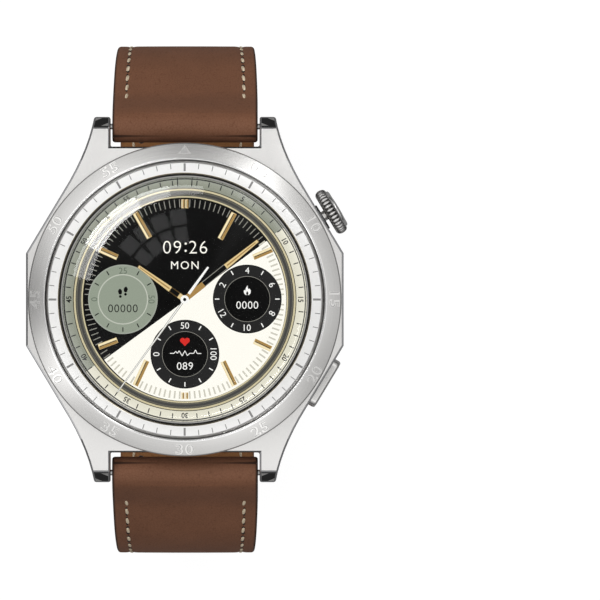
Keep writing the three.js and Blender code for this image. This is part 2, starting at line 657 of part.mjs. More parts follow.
/** Points along a path, a step apart, each with the normal on its left-hand side. */
function stations(path, from, to, step) {
  const length = path.getLength();
  const count = Math.max(2, Math.round((to - from) / step));
  return Array.from({ length: count + 1 }, (_, i) => {
    const s = from + ((to - from) * i) / count;
    const u = THREE.MathUtils.clamp(s / length, 0, 1);
    const place = path.getPointAt(u);
    const tangent = path.getTangentAt(u);
    return { s, place, normal: new THREE.Vector2(-tangent.y, tangent.x) };
  });
}

/** The outline between two offsets of a run of stations, in order round it. */
function plyOutline(run, outer, inner) {
  const out = run.map((p) => p.place.clone().addScaledVector(p.normal, outer(p.s)));
  const back = run.map((p) => p.place.clone().addScaledVector(p.normal, inner(p.s))).reverse();
  return [...out, ...back];
}

/** Narrows a strap piece from its lug width to its own width as it falls away from the lugs. */
function taper(geometry) {
  const position = geometry.attributes.position;
  for (let i = 0; i < position.count; i += 1) {
    const share = THREE.MathUtils.smoothstep(-position.getZ(i), -TAPER_TOP_Z, -TAPER_END_Z);
    const width = THREE.MathUtils.lerp(STRAP_LUG_WIDTH, STRAP_WIDTH, share);
    position.setX(i, (position.getX(i) * width) / STRAP_LUG_WIDTH);
  }
  return geometry;
}

/** An outline for one side of the loop as a strap-wide solid. */
function strapSolid(points, side) {
  const placed = points.map((p) => new THREE.Vector2(p.x * side, p.y));
  const half = STRAP_LUG_WIDTH / 2;
  return taper(alongX(new THREE.Shape(placed), -half, half));
}

const path12 = route(bottom12, BUCKLE_Y);
const path6 = route(bottom6, -STRAIGHT_END_Y);
const stackDrop = bottom12 - bottom6;
const straightLength6 = path6.getLength();
path6.add(new THREE.EllipseCurve(
  -STRAIGHT_END_Y, bottom12 + CORNER_R, cornerRadius + stackDrop, CORNER_R + stackDrop,
  -Math.PI / 2, -Math.PI / 2 - TAIL_CURL / (CORNER_R + stackDrop), true,
));
path6.cacheLengths = null;

/** Full at 0 and gone at the blend length. */
function fade(s, blend) {
  return 1 - THREE.MathUtils.smoothstep(s, 0, blend);
}

/** Outer face of the leather: the roll at the lugs running out into an even thickness. */
function outerOffset(s) {
  return OUTER_THICK + (ROLL_R - OUTER_THICK) * fade(s, ROLL_BLEND);
}

/** Inner face of the leather: the rolled-under flap first, then the middle of the strap. */
function flapOffset(s) {
  const flapEnd = LINING_START - 2 * GAP;
  return THREE.MathUtils.lerp(PLY_GAP / 2, -ROLL_R * 0.75, fade(s, flapEnd));
}

/** Made along -Z from the spring bar, turned to leave the strap on its wrist side. */
function towardWrist(geometry, side) {
  return geometry.rotateX(-exitRadians * side).translate(0, side * BAR_Y, BAR_Z);
}

/** The opening in the roll that the release lever slides in. */
function leverSlot(side) {
  const width = RELEASE_TRAVEL + 2 * (LEVER_R + GAP);
  const centre = leverX + RELEASE_TRAVEL / 2;
  const slot = block(centre, 0, width, 2 * (LEVER_R + GAP), -ROLL_R - 3, 0);
  return towardWrist(slot, side);
}

/** One ply of a strap half between two distances and two offsets. */
function ply(path, side, from, to, outer, inner) {
  return strapSolid(plyOutline(stations(path, from, to, ROUTE_STEP), outer, inner), side);
}

/** A strap half's leather with its roll, bored for the spring bar. */
function leatherHalf(path, side, end) {
  const half = STRAP_LUG_WIDTH / 2;
  const strip = ply(path, side, 0, end, outerOffset, flapOffset);
  const roll = barX(ROLL_R, -half, half, side * BAR_Y, BAR_Z, MEDIUM);
  const bore = barX(BAR_R + RUN, -half - 1, half + 1, side * BAR_Y, BAR_Z, COARSE);
  return cut(join(strip, roll), bore, leverSlot(side));
}

const leatherInner = () => -PLY_GAP / 2;
const liningInner = () => -INNER_THICK;

// ---- Buckle half, at 12 o'clock ----
const length12 = path12.getLength();
const buckleHalf = STRAP_WIDTH / 2;
const prongRoom = PRONG_WIDTH / 2 + GAP;

/** The buckle half's leather: rolled round the spring bar and round the buckle bar. */
function leather12() {
  const roll = barX(BUCKLE_ROLL_R, -buckleHalf, buckleHalf, BUCKLE_Y, buckleBarZ, MEDIUM);
  const bore = barX(BUCKLE_BAR_R + RUN, -buckleHalf - 1, buckleHalf + 1, BUCKLE_Y, buckleBarZ);
  const slotEnd = BUCKLE_Y + PRONG_RING_R + GAP;
  const slot = block(0, slotEnd - 3, 2 * prongRoom, 6, bottom12 - 3, buckleBarZ + 3);
  return cut(join(leatherHalf(path12, 1, length12), roll), bore, slot);
}

piece('strap_12_leather', leather12(), brown);
const lining12End = length12 - BUCKLE_ROLL_R - GAP;
piece('strap_12_lining', ply(path12, 1, LINING_START, lining12End, leatherInner, liningInner), tan);

// ---- Tail half, at 6 o'clock ----
const length6 = path6.getLength();
const tailWidth = STRAP_WIDTH;

/** The distance along the tail half of a place on its straight bottom stretch. */
function alongTail(y) {
  return straightLength6 - (STRAIGHT_END_Y - y);
}

const holeY = -(PRONG_DROP_Y + (PRONG_FOOT_Y - PRONG_DROP_Y) * 0.36);

/** One oval hole through the tail, square to it, at a distance along it. */
function tailHole(s) {
  const [spot] = stations(path6, s, s + 1, 1);
  const shape = pill(HOLE_LENGTH, HOLE_WIDTH);
  const cutter = extrudeFrom(shape, -3, 3, 6).rotateZ(Math.PI / 2);
  const tilt = Math.atan2(spot.normal.x, spot.normal.y);
  return cutter.rotateX(tilt).translate(0, -spot.place.x, spot.place.y);
}

const holeCount = HOLES_TO_TIP + HOLES_TO_LUG + 1;
const holePlaces = Array.from({ length: holeCount }, (_, i) =>
  alongTail(holeY) + (i - HOLES_TO_LUG) * HOLE_PITCH);

/** What is cut from the tail's end to leave it a half ellipse, seen from its face. */
function tipTrim() {
  const reach = tailWidth * 0.55;
  const tip = path6.getPointAt(1);
  const shape = new THREE.Shape();
  shape.moveTo(-tailWidth, -reach);
  shape.lineTo(-tailWidth / 2 - 1, -reach);
  shape.absellipse(0, -reach, tailWidth / 2 + 0.4, reach + 0.05, Math.PI, 0, true);
  shape.lineTo(tailWidth, -reach);
  shape.lineTo(tailWidth, 6);
  shape.lineTo(-tailWidth, 6);
  shape.closePath();
  const [end] = stations(path6, length6 - 1, length6, 1).slice(-1);
  const lean = Math.atan2(end.normal.x, end.normal.y);
  return extrudeFrom(shape, -7, 7, 8).rotateX(lean + Math.PI).translate(0, -tip.x, tip.y);
}

function withHoles(geometry) {
  return cut(geometry, ...holePlaces.map(tailHole));
}

piece('strap_6_leather', cut(withHoles(leatherHalf(path6, -1, length6)), tipTrim()), brown);
const lining6 = ply(path6, -1, LINING_START, length6, leatherInner, liningInner);
piece('strap_6_lining', cut(withHoles(lining6), tipTrim()), tan);

// ---- Spring bars and their release plungers ----
[['12', 1], ['6', -1]].forEach(([name, side]) => {
  const y = side * BAR_Y;
  const end = LUG_GAP / 2 - BAR_END_GAP;
  const reach = LUG_GAP / 2 + PIVOT_REACH;
  const tube = join(barX(BAR_R, -end, end, y, BAR_Z), barX(PIVOT_R, end - 1, reach, y, BAR_Z));
  const bore = barX(PIVOT_R + RUN, -end - 1, boreEndX, y, BAR_Z);
  piece(`spring_bar_${name}`, cut(tube, bore, leverSlot(side)), steel);
  const plunger = barX(PIVOT_R, -reach, -reach + PLUNGER_LENGTH + PIVOT_REACH, y, BAR_Z);
  const lever = ring(LEVER_R, 0, -LEVER_LENGTH, 0, COARSE).translate(leverX, 0, 0);
  piece(`release_pin_${name}`, join(plunger, towardWrist(lever, side)), steel);
});

// ---- Buckle ----
const crossBarZ = tailLow - GAP - FRAME_BAR_R;
const crossBarY = BUCKLE_Y - FRAME_REACH;
const sideInner = STRAP_WIDTH / 2 + FRAME_SIDE_GAP;
const sideOuter = sideInner + FRAME_SIDE;
const barReach = sideInner + FRAME_SIDE * 0.55;

/** The frame: two sides and a cross bar, notched for the prong and bored for the buckle bar. */
function buckleFrame() {
  const span = Math.hypot(FRAME_REACH, buckleBarZ - crossBarZ);
  const lean = Math.atan2(buckleBarZ - crossBarZ, FRAME_REACH);
  const sides = [-1, 1].map((sign) => {
    const from = sign > 0 ? sideInner : -sideOuter;
    const arm = alongX(pill(span + 2 * FRAME_BAR_R, 2 * FRAME_BAR_R), from, from + FRAME_SIDE);
    arm.rotateX(lean).translate(0, (BUCKLE_Y + crossBarY) / 2, (buckleBarZ + crossBarZ) / 2);
    return join(arm, barX(FRAME_BOSS_R, from, from + FRAME_SIDE, BUCKLE_Y, buckleBarZ, MEDIUM));
  });
  const cross = barX(FRAME_BAR_R, -sideInner - 0.5, sideInner + 0.5, crossBarY, crossBarZ);
  const bore = barX(BUCKLE_BAR_R + RUN, -barReach - RUN, barReach + RUN, BUCKLE_Y, buckleBarZ);
  const notchTop = tailLow - PRONG_LOW + PRONG_THICK / 2 + PRONG_NOTCH;
  const notch = block(0, crossBarY, 2 * prongRoom, 4, notchTop - 3, notchTop);
  return cut(join(cross, ...sides), bore, notch);
}

piece('buckle_frame', buckleFrame(), steel);
piece('buckle_bar', barX(BUCKLE_BAR_R, -barReach, barReach, BUCKLE_Y, buckleBarZ), steel);

/** The prong: a ring on the buckle bar and a tongue that bends down through the tail. */
function prong() {
  const half = PRONG_THICK / 2;
  const low = tailLow - PRONG_LOW;
  const line = [
    [BUCKLE_Y - PRONG_RING_R * 0.75, buckleBarZ - 0.1],
    [BUCKLE_Y - PRONG_DROP_Y, tailTop + 0.55],
    [BUCKLE_Y - PRONG_FOOT_Y, low + 0.3],
    [crossBarY - FRAME_BAR_R - PRONG_PAST, low],
  ].map(([y, z]) => new THREE.Vector2(y, z));
  const run = line.map((place, i) => {
    const before = line[Math.max(i - 1, 0)];
    const after = line[Math.min(i + 1, line.length - 1)];
    const along = after.clone().sub(before).normalize();
    return { place, normal: new THREE.Vector2(-along.y, along.x), s: i };
  });
  const outline = new THREE.Shape(plyOutline(run, () => half, () => -half));
  const tongue = alongX(outline, -PRONG_WIDTH / 2, PRONG_WIDTH / 2);
  const eye = barX(PRONG_RING_R, -PRONG_WIDTH / 2, PRONG_WIDTH / 2, BUCKLE_Y, buckleBarZ, MEDIUM);
  const bore = barX(BUCKLE_BAR_R + RUN, -PRONG_WIDTH, PRONG_WIDTH, BUCKLE_Y, buckleBarZ);
  return cut(join(tongue, eye), bore);
}

piece('prong', prong(), steel);

// ---- Keepers ----
/** A rectangle with round corners between two corners. */
function roundedBox(left, low, right, high, radius, Kind) {
  const shape = new Kind();
  shape.absarc(right - radius, low + radius, radius, -Math.PI / 2, 0);
  shape.absarc(right - radius, high - radius, radius, 0, Math.PI / 2);
  shape.absarc(left + radius, high - radius, radius, Math.PI / 2, Math.PI);
  shape.absarc(left + radius, low + radius, radius, Math.PI, Math.PI * 1.5);
  shape.closePath();
  return shape;
}

/** A leather loop round the buckle half and the tail, from y along the straight stretch. */
function keeper(y) {
  const side = STRAP_WIDTH / 2 + GAP;
  const low = tailLow - GAP;
  const high = bottom12 + INNER_THICK + GAP;
  const outside = roundedBox(
    -side - KEEPER_SIDE, low - KEEPER_THICK, side + KEEPER_SIDE, high + KEEPER_TOP, 1.4, THREE.Shape,
  );
  outside.holes.push(roundedBox(-side, low, side, high, 0.2, THREE.Path));
  return extrudeFrom(outside, 0, KEEPER_WIDTH, 4).rotateX(Math.PI / 2).translate(0, y + KEEPER_WIDTH, 0);
}

piece('fixed_keeper', keeper(FIXED_KEEPER_Y), brown);
piece('free_keeper', keeper(FREE_KEEPER_Y), brown);

export default watch;
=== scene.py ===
"""A round smartwatch: satin steel case, lit dial with hands and three small dials, and a buckled brown strap."""

import json
import math

import bmesh
import bpy
import numpy as np
from mathutils import Matrix, Vector

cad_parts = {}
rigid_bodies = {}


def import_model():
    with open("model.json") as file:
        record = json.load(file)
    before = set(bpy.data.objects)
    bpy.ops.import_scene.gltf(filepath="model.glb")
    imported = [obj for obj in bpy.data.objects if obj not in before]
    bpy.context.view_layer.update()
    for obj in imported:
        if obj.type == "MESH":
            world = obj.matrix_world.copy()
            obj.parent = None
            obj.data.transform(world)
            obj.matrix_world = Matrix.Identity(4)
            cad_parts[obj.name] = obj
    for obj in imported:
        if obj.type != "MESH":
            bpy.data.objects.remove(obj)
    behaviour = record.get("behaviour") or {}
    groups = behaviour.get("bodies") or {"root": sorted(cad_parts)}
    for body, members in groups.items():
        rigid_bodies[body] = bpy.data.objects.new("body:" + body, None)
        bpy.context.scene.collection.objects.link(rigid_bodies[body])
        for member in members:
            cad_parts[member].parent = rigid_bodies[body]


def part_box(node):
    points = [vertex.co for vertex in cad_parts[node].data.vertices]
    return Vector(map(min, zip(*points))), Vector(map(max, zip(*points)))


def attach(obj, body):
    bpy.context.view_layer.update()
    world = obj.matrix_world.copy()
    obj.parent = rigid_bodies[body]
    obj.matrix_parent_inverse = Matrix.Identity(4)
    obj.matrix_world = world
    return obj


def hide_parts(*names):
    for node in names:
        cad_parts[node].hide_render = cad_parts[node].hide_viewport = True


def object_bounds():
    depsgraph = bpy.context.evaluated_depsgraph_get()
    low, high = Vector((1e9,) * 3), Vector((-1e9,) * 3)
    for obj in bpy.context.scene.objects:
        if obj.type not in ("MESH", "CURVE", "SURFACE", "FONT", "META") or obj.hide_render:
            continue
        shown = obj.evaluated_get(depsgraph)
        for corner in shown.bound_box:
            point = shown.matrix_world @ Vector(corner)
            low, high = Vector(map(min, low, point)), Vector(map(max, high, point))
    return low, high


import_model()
cad_low, cad_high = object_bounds()
MM = 0.001

# ---- Camera, floor and light ----
# The camera looks straight down on the dial from far off, with the watch left of the middle.
# The sky is a studio: dark straight above, and soft panels of unlike brightness round it.
camera = bpy.data.objects.new("camera", bpy.data.cameras.new("camera"))
camera.location = (0.01694, -0.00007, 2.0122)
camera.data.sensor_width = 36
camera.data.lens = 817
camera.data.clip_start = 0.1
camera.data.clip_end = 20
bpy.context.collection.objects.link(camera)
bpy.context.scene.camera = camera
bpy.context.scene.view_settings.view_transform = "Standard"


def feed(tree, node, inputs):
    """Link each input to a socket, or give it its constant."""
    for key, value in inputs.items():
        if isinstance(value, bpy.types.NodeSocket):
            tree.links.new(value, node.inputs[key])
        else:
            node.inputs[key].default_value = value


def put(tree, kind, inputs=None, **settings):
    """Add a shader node; an input's value is a constant or another node's output socket."""
    node = tree.nodes.new(f"ShaderNode{kind}")
    for key, value in settings.items():
        setattr(node, key, value)
    feed(tree, node, inputs or {})
    return node


def srgb(red, green, blue):
    """A colour given as 0 to 255 screen values, as the linear values that shaders take."""
    parts = [c / 255 for c in (red, green, blue)]
    return tuple(c / 12.92 if c <= 0.04045 else ((c + 0.055) / 1.055) ** 2.4 for c in parts) + (1,)


def maths(tree, operation, *values):
    """The result of a Math node on one to three values."""
    return put(tree, "Math", dict(enumerate(values)), operation=operation).outputs[0]


def span(tree, value, low=0.0, high=1.0, to_low=0.0, to_high=1.0):
    """A value carried from the range low to high onto to_low to to_high, and held at its ends."""
    ends = {"Value": value, "From Min": low, "From Max": high, "To Min": to_low, "To Max": to_high}
    return put(tree, "MapRange", ends).outputs["Result"]


def blended(tree, factor, a, b, way="MIX"):
    """Two colours mixed by a factor."""
    node = put(tree, "Mix", {"Factor": factor, "A": a, "B": b}, data_type="RGBA", blend_type=way)
    return node.outputs["Result"]


def ramp(tree, factor, stops):
    """A colour ramp from (position, grey or colour) stops."""
    node = put(tree, "ValToRGB", {"Fac": factor})
    bar = node.color_ramp.elements
    while len(bar) < len(stops):
        bar.new(0.5)
    for element, (position, value) in zip(bar, stops):
        element.position = position
        element.color = value if isinstance(value, tuple) else (value, value, value, 1)
    return node.outputs["Color"]


world = bpy.data.worlds.new("studio")
bpy.context.scene.world = world
world.use_nodes = True
sky = world.node_tree
sky.nodes.clear()
way = put(sky, "SeparateXYZ", {0: put(sky, "TexCoord").outputs["Generated"]})
turn = maths(sky, "ARCTAN2", way.outputs["Y"], way.outputs["X"])
around = maths(sky, "MULTIPLY_ADD", turn, 1 / (2 * math.pi), 0.5)
panels = ramp(sky, around, [
    (0.0, 0.35), (0.03, 0.5), (0.08, 1.7), (0.125, 0.75), (0.167, 0.8), (0.25, 0.85), (0.333, 1.1),
    (0.38, 0.75), (0.417, 0.58), (0.47, 0.72), (0.5, 0.75), (0.583, 0.7), (0.635, 0.8), (0.667, 2.9),
    (0.695, 0.6), (0.75, 0.36), (0.79, 0.8), (0.833, 1.15), (0.88, 0.98), (0.917, 1.05), (0.96, 0.6), (1.0, 0.35),
])
top = ramp(sky, way.outputs["Z"], [
    (0.0, 0.07), (0.2, 0.1), (0.45, 0.36), (0.68, 0.86), (0.78, 0.95), (0.86, 1.65), (0.91, 1.45),
    (0.96, 0.95), (0.993, 0.88), (0.9965, 0.04), (1.0, 0.02),
])
both = blended(sky, 1.0, panels, top, "MULTIPLY")
glow = put(sky, "Background", {"Color": both, "Strength": 1.0})
put(sky, "OutputWorld", {"Surface": glow.outputs[0]})

key = bpy.data.objects.new("key_light", bpy.data.lights.new("key_light", "AREA"))
key.data.shape = "RECTANGLE"
key.data.size, key.data.size_y = 0.7, 0.7
key.data.energy = 3.5
key.visible_glossy = False
key.location = (-0.45, 0.55, 0.9)
key.rotation_euler = (-key.location).to_track_quat("-Z", "Y").to_euler()
bpy.context.collection.objects.link(key)
# Window panes that the glass reflects: bearing, distance, depth, width and strength.
outer_panes = ((94, 4.0), (111, 10.0), (128, 17.0), (145, 16.0), (161, 5.0))
windows = [(bearing, away, 13.5, 11.5 * away / 60, 0.75) for away in (57, 73) for bearing in (101, 114, 127, 140)]
windows += [(bearing, 102, 21, 29, strength) for bearing, strength in outer_panes]
for i, (bearing, away, deep, wide, bright) in enumerate(windows):
    pane = bpy.data.objects.new(f"window_{i}", bpy.data.lights.new(f"window_{i}", "AREA"))
    pane.data.shape = "RECTANGLE"
    pane.data.size, pane.data.size_y = deep * MM, wide * MM
    pane.data.energy = bright * math.pi * deep * wide * MM * MM
    bearing = math.radians(bearing)
    pane.location = (away * MM * math.cos(bearing), away * MM * math.sin(bearing), 1.0)
    pane.rotation_euler = (0, 0, bearing)
    bpy.context.collection.objects.link(pane)

floor = bpy.data.objects.new("floor", bpy.data.meshes.new("floor"))
low = cad_low.z - 0.0004
floor.data.from_pydata([(-9, -9, low), (9, -9, low), (9, 9, low), (-9, 9, low)], [], [(0, 1, 2, 3)])
bpy.context.collection.objects.link(floor)
white = bpy.data.materials.new("floor_white")
white.use_nodes = True
paper = white.node_tree.nodes["Principled BSDF"]
paper.inputs["Base Color"].default_value = (0.16, 0.16, 0.16, 1)
paper.inputs["Roughness"].default_value = 0.9
paper.inputs["Emission Color"].default_value = (1, 1, 1, 1)
seen = put(white.node_tree, "LightPath")
given = span(white.node_tree, seen.outputs["Is Camera Ray"], to_low=0.1, to_high=0.92)
white.node_tree.links.new(given, paper.inputs["Emission Strength"])
floor.data.materials.append(white)

# ---- Steel case ----
# The middle of the case with its four lugs: brushed along its length on top, with narrow chamfers painted dark.
# It is the CAD solid itself with a bevel, and the bevel takes a polished steel whose darker colour is a painted
# dark reflection.


def material(name, colour, roughness, metallic=0.0, **more):
    """A new Principled material; returns it, its node tree and its shader."""
    made = bpy.data.materials.new(name)
    made.use_nodes = True
    tree = made.node_tree
    shader = tree.nodes["Principled BSDF"]
    shader.inputs["Base Color"].default_value = colour
    shader.inputs["Roughness"].default_value = roughness
    shader.inputs["Metallic"].default_value = metallic
    for key_name, value in more.items():
        shader.inputs[key_name.replace("_", " ")].default_value = value
    return made, tree, shader


def group(name, inputs, outputs):
    """A new shader node group with those sockets; returns its tree, its input node and its output node."""
    tree = bpy.data.node_groups.new(name, "ShaderNodeTree")
    for socket, kind, value in inputs:
        made = tree.interface.new_socket(socket, in_out="INPUT", socket_type=kind)
        if value is not None:
            made.default_value = value
    for socket, kind in outputs:
        tree.interface.new_socket(socket, in_out="OUTPUT", socket_type=kind)
    return tree, tree.nodes.new("NodeGroupInput"), tree.nodes.new("NodeGroupOutput")


def here(tree):
    """Object coordinates."""
    return put(tree, "TexCoord").outputs["Object"]


def noise(tree, vector, scale, detail=2.0, roughness=0.5, output="Fac"):
    """The value, or the Color, of a noise texture."""
    values = {"Vector": vector, "Scale": scale, "Detail": detail, "Roughness": roughness}
    return put(tree, "TexNoise", values).outputs[output]


def relief_on(tree, shader, strength, distance, height):
    """Bump the shader's normal by a height."""
    bump = put(tree, "Bump", {"Strength": strength, "Distance": distance, "Height": height})
    tree.links.new(bump.outputs["Normal"], shader.inputs["Normal"])


def use(tree, made, **inputs):
    """Place a node group in a material."""
    node = tree.nodes.new("ShaderNodeGroup")
    node.node_tree = made
    feed(tree, node, inputs)
    return node


def dress(obj, body, nodes=(), mats=()):
    """Give a finished piece its materials, its body and the CAD nodes it stands for."""
    obj.data.materials.clear()
    for made in mats:
        obj.data.materials.append(made)
    if nodes:
        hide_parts(*nodes)
    if obj.parent is None:
        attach(obj, body)
    return obj


# Fine scratches: noise stretched along Scale's smallest axis; Height for a bump and Shade for tone.
brushing, b_in, b_out = group(
    "brushing", [("Vector", "NodeSocketVector", None), ("Scale", "NodeSocketVector", (1, 1, 1))],
    [("Height", "NodeSocketFloat"), ("Shade", "NodeSocketFloat")],
)
stretched = put(brushing, "VectorMath", {0: b_in.outputs["Vector"], 1: b_in.outputs["Scale"]},
                operation="MULTIPLY")
fine = noise(brushing, stretched.outputs[0], 1.0, 3.0, 0.6)
shade = span(brushing, fine, low=0.3, high=0.7)
brushing.links.new(fine, b_out.inputs["Height"])
brushing.links.new(shade, b_out.inputs["Shade"])

# Turned coordinates: angle round Z, radius and height, so that brushing can run round a ring.
polar, p_in, p_out = group("polar", [("Vector", "NodeSocketVector", None)], [("Vector", "NodeSocketVector")])
parts = put(polar, "SeparateXYZ", {0: p_in.outputs["Vector"]})
angle = maths(polar, "ARCTAN2", parts.outputs["Y"], parts.outputs["X"])
flat = put(polar, "CombineXYZ", {"X": parts.outputs["X"], "Y": parts.outputs["Y"]})
radius = put(polar, "VectorMath", {0: flat.outputs[0]}, operation="LENGTH")
joined = put(polar, "CombineXYZ", {"X": angle, "Y": radius.outputs["Value"],
                                             "Z": parts.outputs["Z"]})
polar.links.new(joined.outputs[0], p_out.inputs["Vector"])


def brushed(name, colour, roughness, scale, around_z=False, depth=0.1, tone=0.12, **more):
    """Brushed steel: scratches by scale, round Z in (angle, radius, height) or straight in (x, y, z)."""
    made, tree, shader = material(name, colour, roughness, 1.0, **more)
    place = here(tree)
    if around_z:
        place = use(tree, polar, Vector=place).outputs["Vector"]
    lines = use(tree, brushing, Vector=place, Scale=scale)
    dark = tuple(c * (1 - tone) for c in colour[:3]) + (1,)
    mixed = blended(tree, lines.outputs["Shade"], dark, colour)
    tree.links.new(mixed, shader.inputs["Base Color"])
    rough = span(tree, lines.outputs["Shade"], to_low=roughness * 0.85, to_high=roughness * 1.2)
    tree.links.new(rough, shader.inputs["Roughness"])
    relief_on(tree, shader, depth, 0.00002, lines.outputs["Height"])
    return made


case_brushed = brushed("case_brushed", (0.80, 0.79, 0.775, 1), 0.34, (30000, 900, 30000), depth=0.12,
                       Anisotropic=0.4)
# The chamfer steel's low base colour is a painted dark reflection.
chamfer_painted_dark = brushed("steel_chamfer", (0.42, 0.42, 0.425, 1), 0.14, (4000, 4000, 4000), depth=0.02,
                        tone=0.1)
# The lugs' tops bend away softly: on upward faces the shader's normal leans outward by degrees along X and Y.
# Their end facets carry a near-black slanted band: a painted dark reflection in the base colour.
tree = case_brushed.node_tree
place = put(tree, "SeparateXYZ", {0: here(tree)})
plain = put(tree, "NewGeometry").outputs["Normal"]
facing = put(tree, "SeparateXYZ", {0: plain})
far = maths(tree, "ABSOLUTE", place.outputs["Y"])
lean = span(tree, far, low=0.013, high=0.0265, to_low=0.0, to_high=0.28)
side = maths(tree, "SIGN", place.outputs["Y"])
signed = maths(tree, "MULTIPLY", lean, side)
wide = maths(tree, "ABSOLUTE", place.outputs["X"])
spread = span(tree, wide, low=0.0115, high=0.024, to_low=0.0, to_high=0.3)
flank = maths(tree, "SIGN", place.outputs["X"])
across = maths(tree, "MULTIPLY", spread, flank)
bent = put(tree, "CombineXYZ", {"X": across, "Y": signed, "Z": 1.0})
unit = put(tree, "VectorMath", {0: bent.outputs[0]}, operation="NORMALIZE")
upward = maths(tree, "GREATER_THAN", facing.outputs["Z"], 0.8)
soft = put(tree, "Mix", {"Factor": upward, "A": plain, "B": unit.outputs[0]}, data_type="VECTOR")
tree.links.new(soft.outputs["Result"], next(n for n in tree.nodes if n.type == "BUMP").inputs["Normal"])
outward = maths(tree, "ABSOLUTE", facing.outputs["Y"])
tip_low = span(tree, facing.outputs["Z"], low=0.3, high=0.32)
tip_high = span(tree, outward, low=0.44, high=0.46)
tip_face = maths(tree, "MULTIPLY", tip_low, tip_high)
slanted = maths(tree, "MULTIPLY_ADD", wide, 0.4, far)
band = maths(tree, "COMPARE", slanted, 0.03105, 0.00055)
tip = maths(tree, "MULTIPLY", tip_face, band)
base = tree.nodes["Principled BSDF"].inputs["Base Color"]
# Painted dark reflection: the tip band turns the base colour near-black.
painted_tip_shade = blended(tree, tip, base.links[0].from_socket, (0.06, 0.06, 0.06, 1))
tree.links.new(painted_tip_shade, base)


def bevelled(obj, width, angle, merge_flats=False):
    """Join a solid's loose triangles and bevel its edges over an angle, by a width in mm."""
    obj.modifiers.new("joined", "WELD").merge_threshold = 0.000002
    if merge_flats:
        flats = obj.modifiers.new("flats", "DECIMATE")
        flats.decimate_type = "DISSOLVE"
        flats.angle_limit = math.radians(1)
    made = obj.modifiers.new("edge", "BEVEL")
    made.width = width * MM
    made.segments = 2
    made.limit_method = "ANGLE"
    made.angle_limit = math.radians(angle)
    return made


case = bpy.data.objects["mid_case"]
edge = bevelled(case, 0.28, 34, merge_flats=True)
edge.material = 1
edge.use_clamp_overlap = False
dress(case, "case", mats=[case_brushed, chamfer_painted_dark])

# ---- Outer bezel ----
# A turned satin ring that slopes down to its rim, with a polished inner edge and engraved minute numerals.
# Its radii come from the CAD ring; the numerals are thin inlays that follow the slope, a bright outline that is a
# painted highlight over a darker fill that is painted shade.


def box_mm(node):
    """The two corners of a CAD node's box, in mm."""
    return (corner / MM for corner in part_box(node))


def read_points(mesh):
    """A mesh's vertices as an array, in metres."""
    co = np.zeros(len(mesh.vertices) * 3)
    mesh.vertices.foreach_get("co", co)
    return co.reshape(-1, 3)


def solid(name, points, faces, smooth=True):
    """A mesh object from vertex and face arrays, with its normals made to face outward."""
    mesh = bpy.data.meshes.new(name)
    mesh.from_pydata(np.asarray(points).tolist(), [], [tuple(int(i) for i in f) for f in faces])
    work = bmesh.new()
    work.from_mesh(mesh)
    bmesh.ops.remove_doubles(work, verts=work.verts, dist=1e-8)
    bmesh.ops.recalc_face_normals(work, faces=work.faces)
    for face in work.faces:
        face.smooth = smooth
    work.to_mesh(mesh)
    work.free()
    mesh.set_sharp_from_angle(angle=math.radians(38))
    obj = bpy.data.objects.new(name, mesh)
    bpy.context.collection.objects.link(obj)
    return obj


def rounded(corners, radii, steps=4):
    """A closed outline with each corner turned into the curve (1-t)^2 a + 2t(1-t) corner + t^2 b,
    where a and b lie a radius before and after it."""
    corners = np.asarray(corners, float)
    out = []
    for i, corner in enumerate(corners):
        before, after = corners[i - 1] - corner, corners[(i + 1) % len(corners)] - corner
        size = min(radii[i], 0.49 * np.linalg.norm(before), 0.49 * np.linalg.norm(after))
        if size <= 0:
            out.append(corner)
            continue
        a, b = corner + before / np.linalg.norm(before) * size, corner + after / np.linalg.norm(after) * size
        for t in np.linspace(0, 1, steps + 1):
            out.append((1 - t) ** 2 * a + 2 * t * (1 - t) * corner + t * t * b)
    return np.array(out)


def skin(m, n, closed):
    """Faces over m rings of n points. Open, each end has a fan round a point that follows the last ring."""
    i, j = np.meshgrid(np.arange(m if closed else m - 1), np.arange(n), indexing="ij")
    i, j, i2, j2 = i.ravel(), j.ravel(), ((i + 1) % m).ravel(), ((j + 1) % n).ravel()
    faces = np.stack([i * n + j, i * n + j2, i2 * n + j2, i2 * n + j], 1).tolist()
    if not closed:
        for k in range(n):
            faces += [(m * n, (k + 1) % n, k), (m * n + 1, (m - 1) * n + k, (m - 1) * n + (k + 1) % n)]
    return faces


def loft(name, rings, closed=True):
    """Skin rings[i, j]: each ring closes on itself. Closed, the last ring joins the first, and otherwise
    a fan caps each end."""
    rings = np.asarray(rings, float)
    points = rings.reshape(-1, 3)
    if not closed:
        points = np.vstack([points, rings[0].mean(0), rings[-1].mean(0)])
    return solid(name, points, skin(*rings.shape[:2], closed))


def turned(name, outline, steps=256):
    """Turn a closed (radius, z) outline about Z: (r cos a, r sin a, z)."""
    outline = np.asarray(outline, float) * MM
    a = np.linspace(0, 2 * math.pi, steps, endpoint=False)[:, None]
    r, z = outline[:, 0][None], outline[:, 1][None]
    return loft(name, np.stack([r * np.cos(a), r * np.sin(a), z + 0 * a], 2))


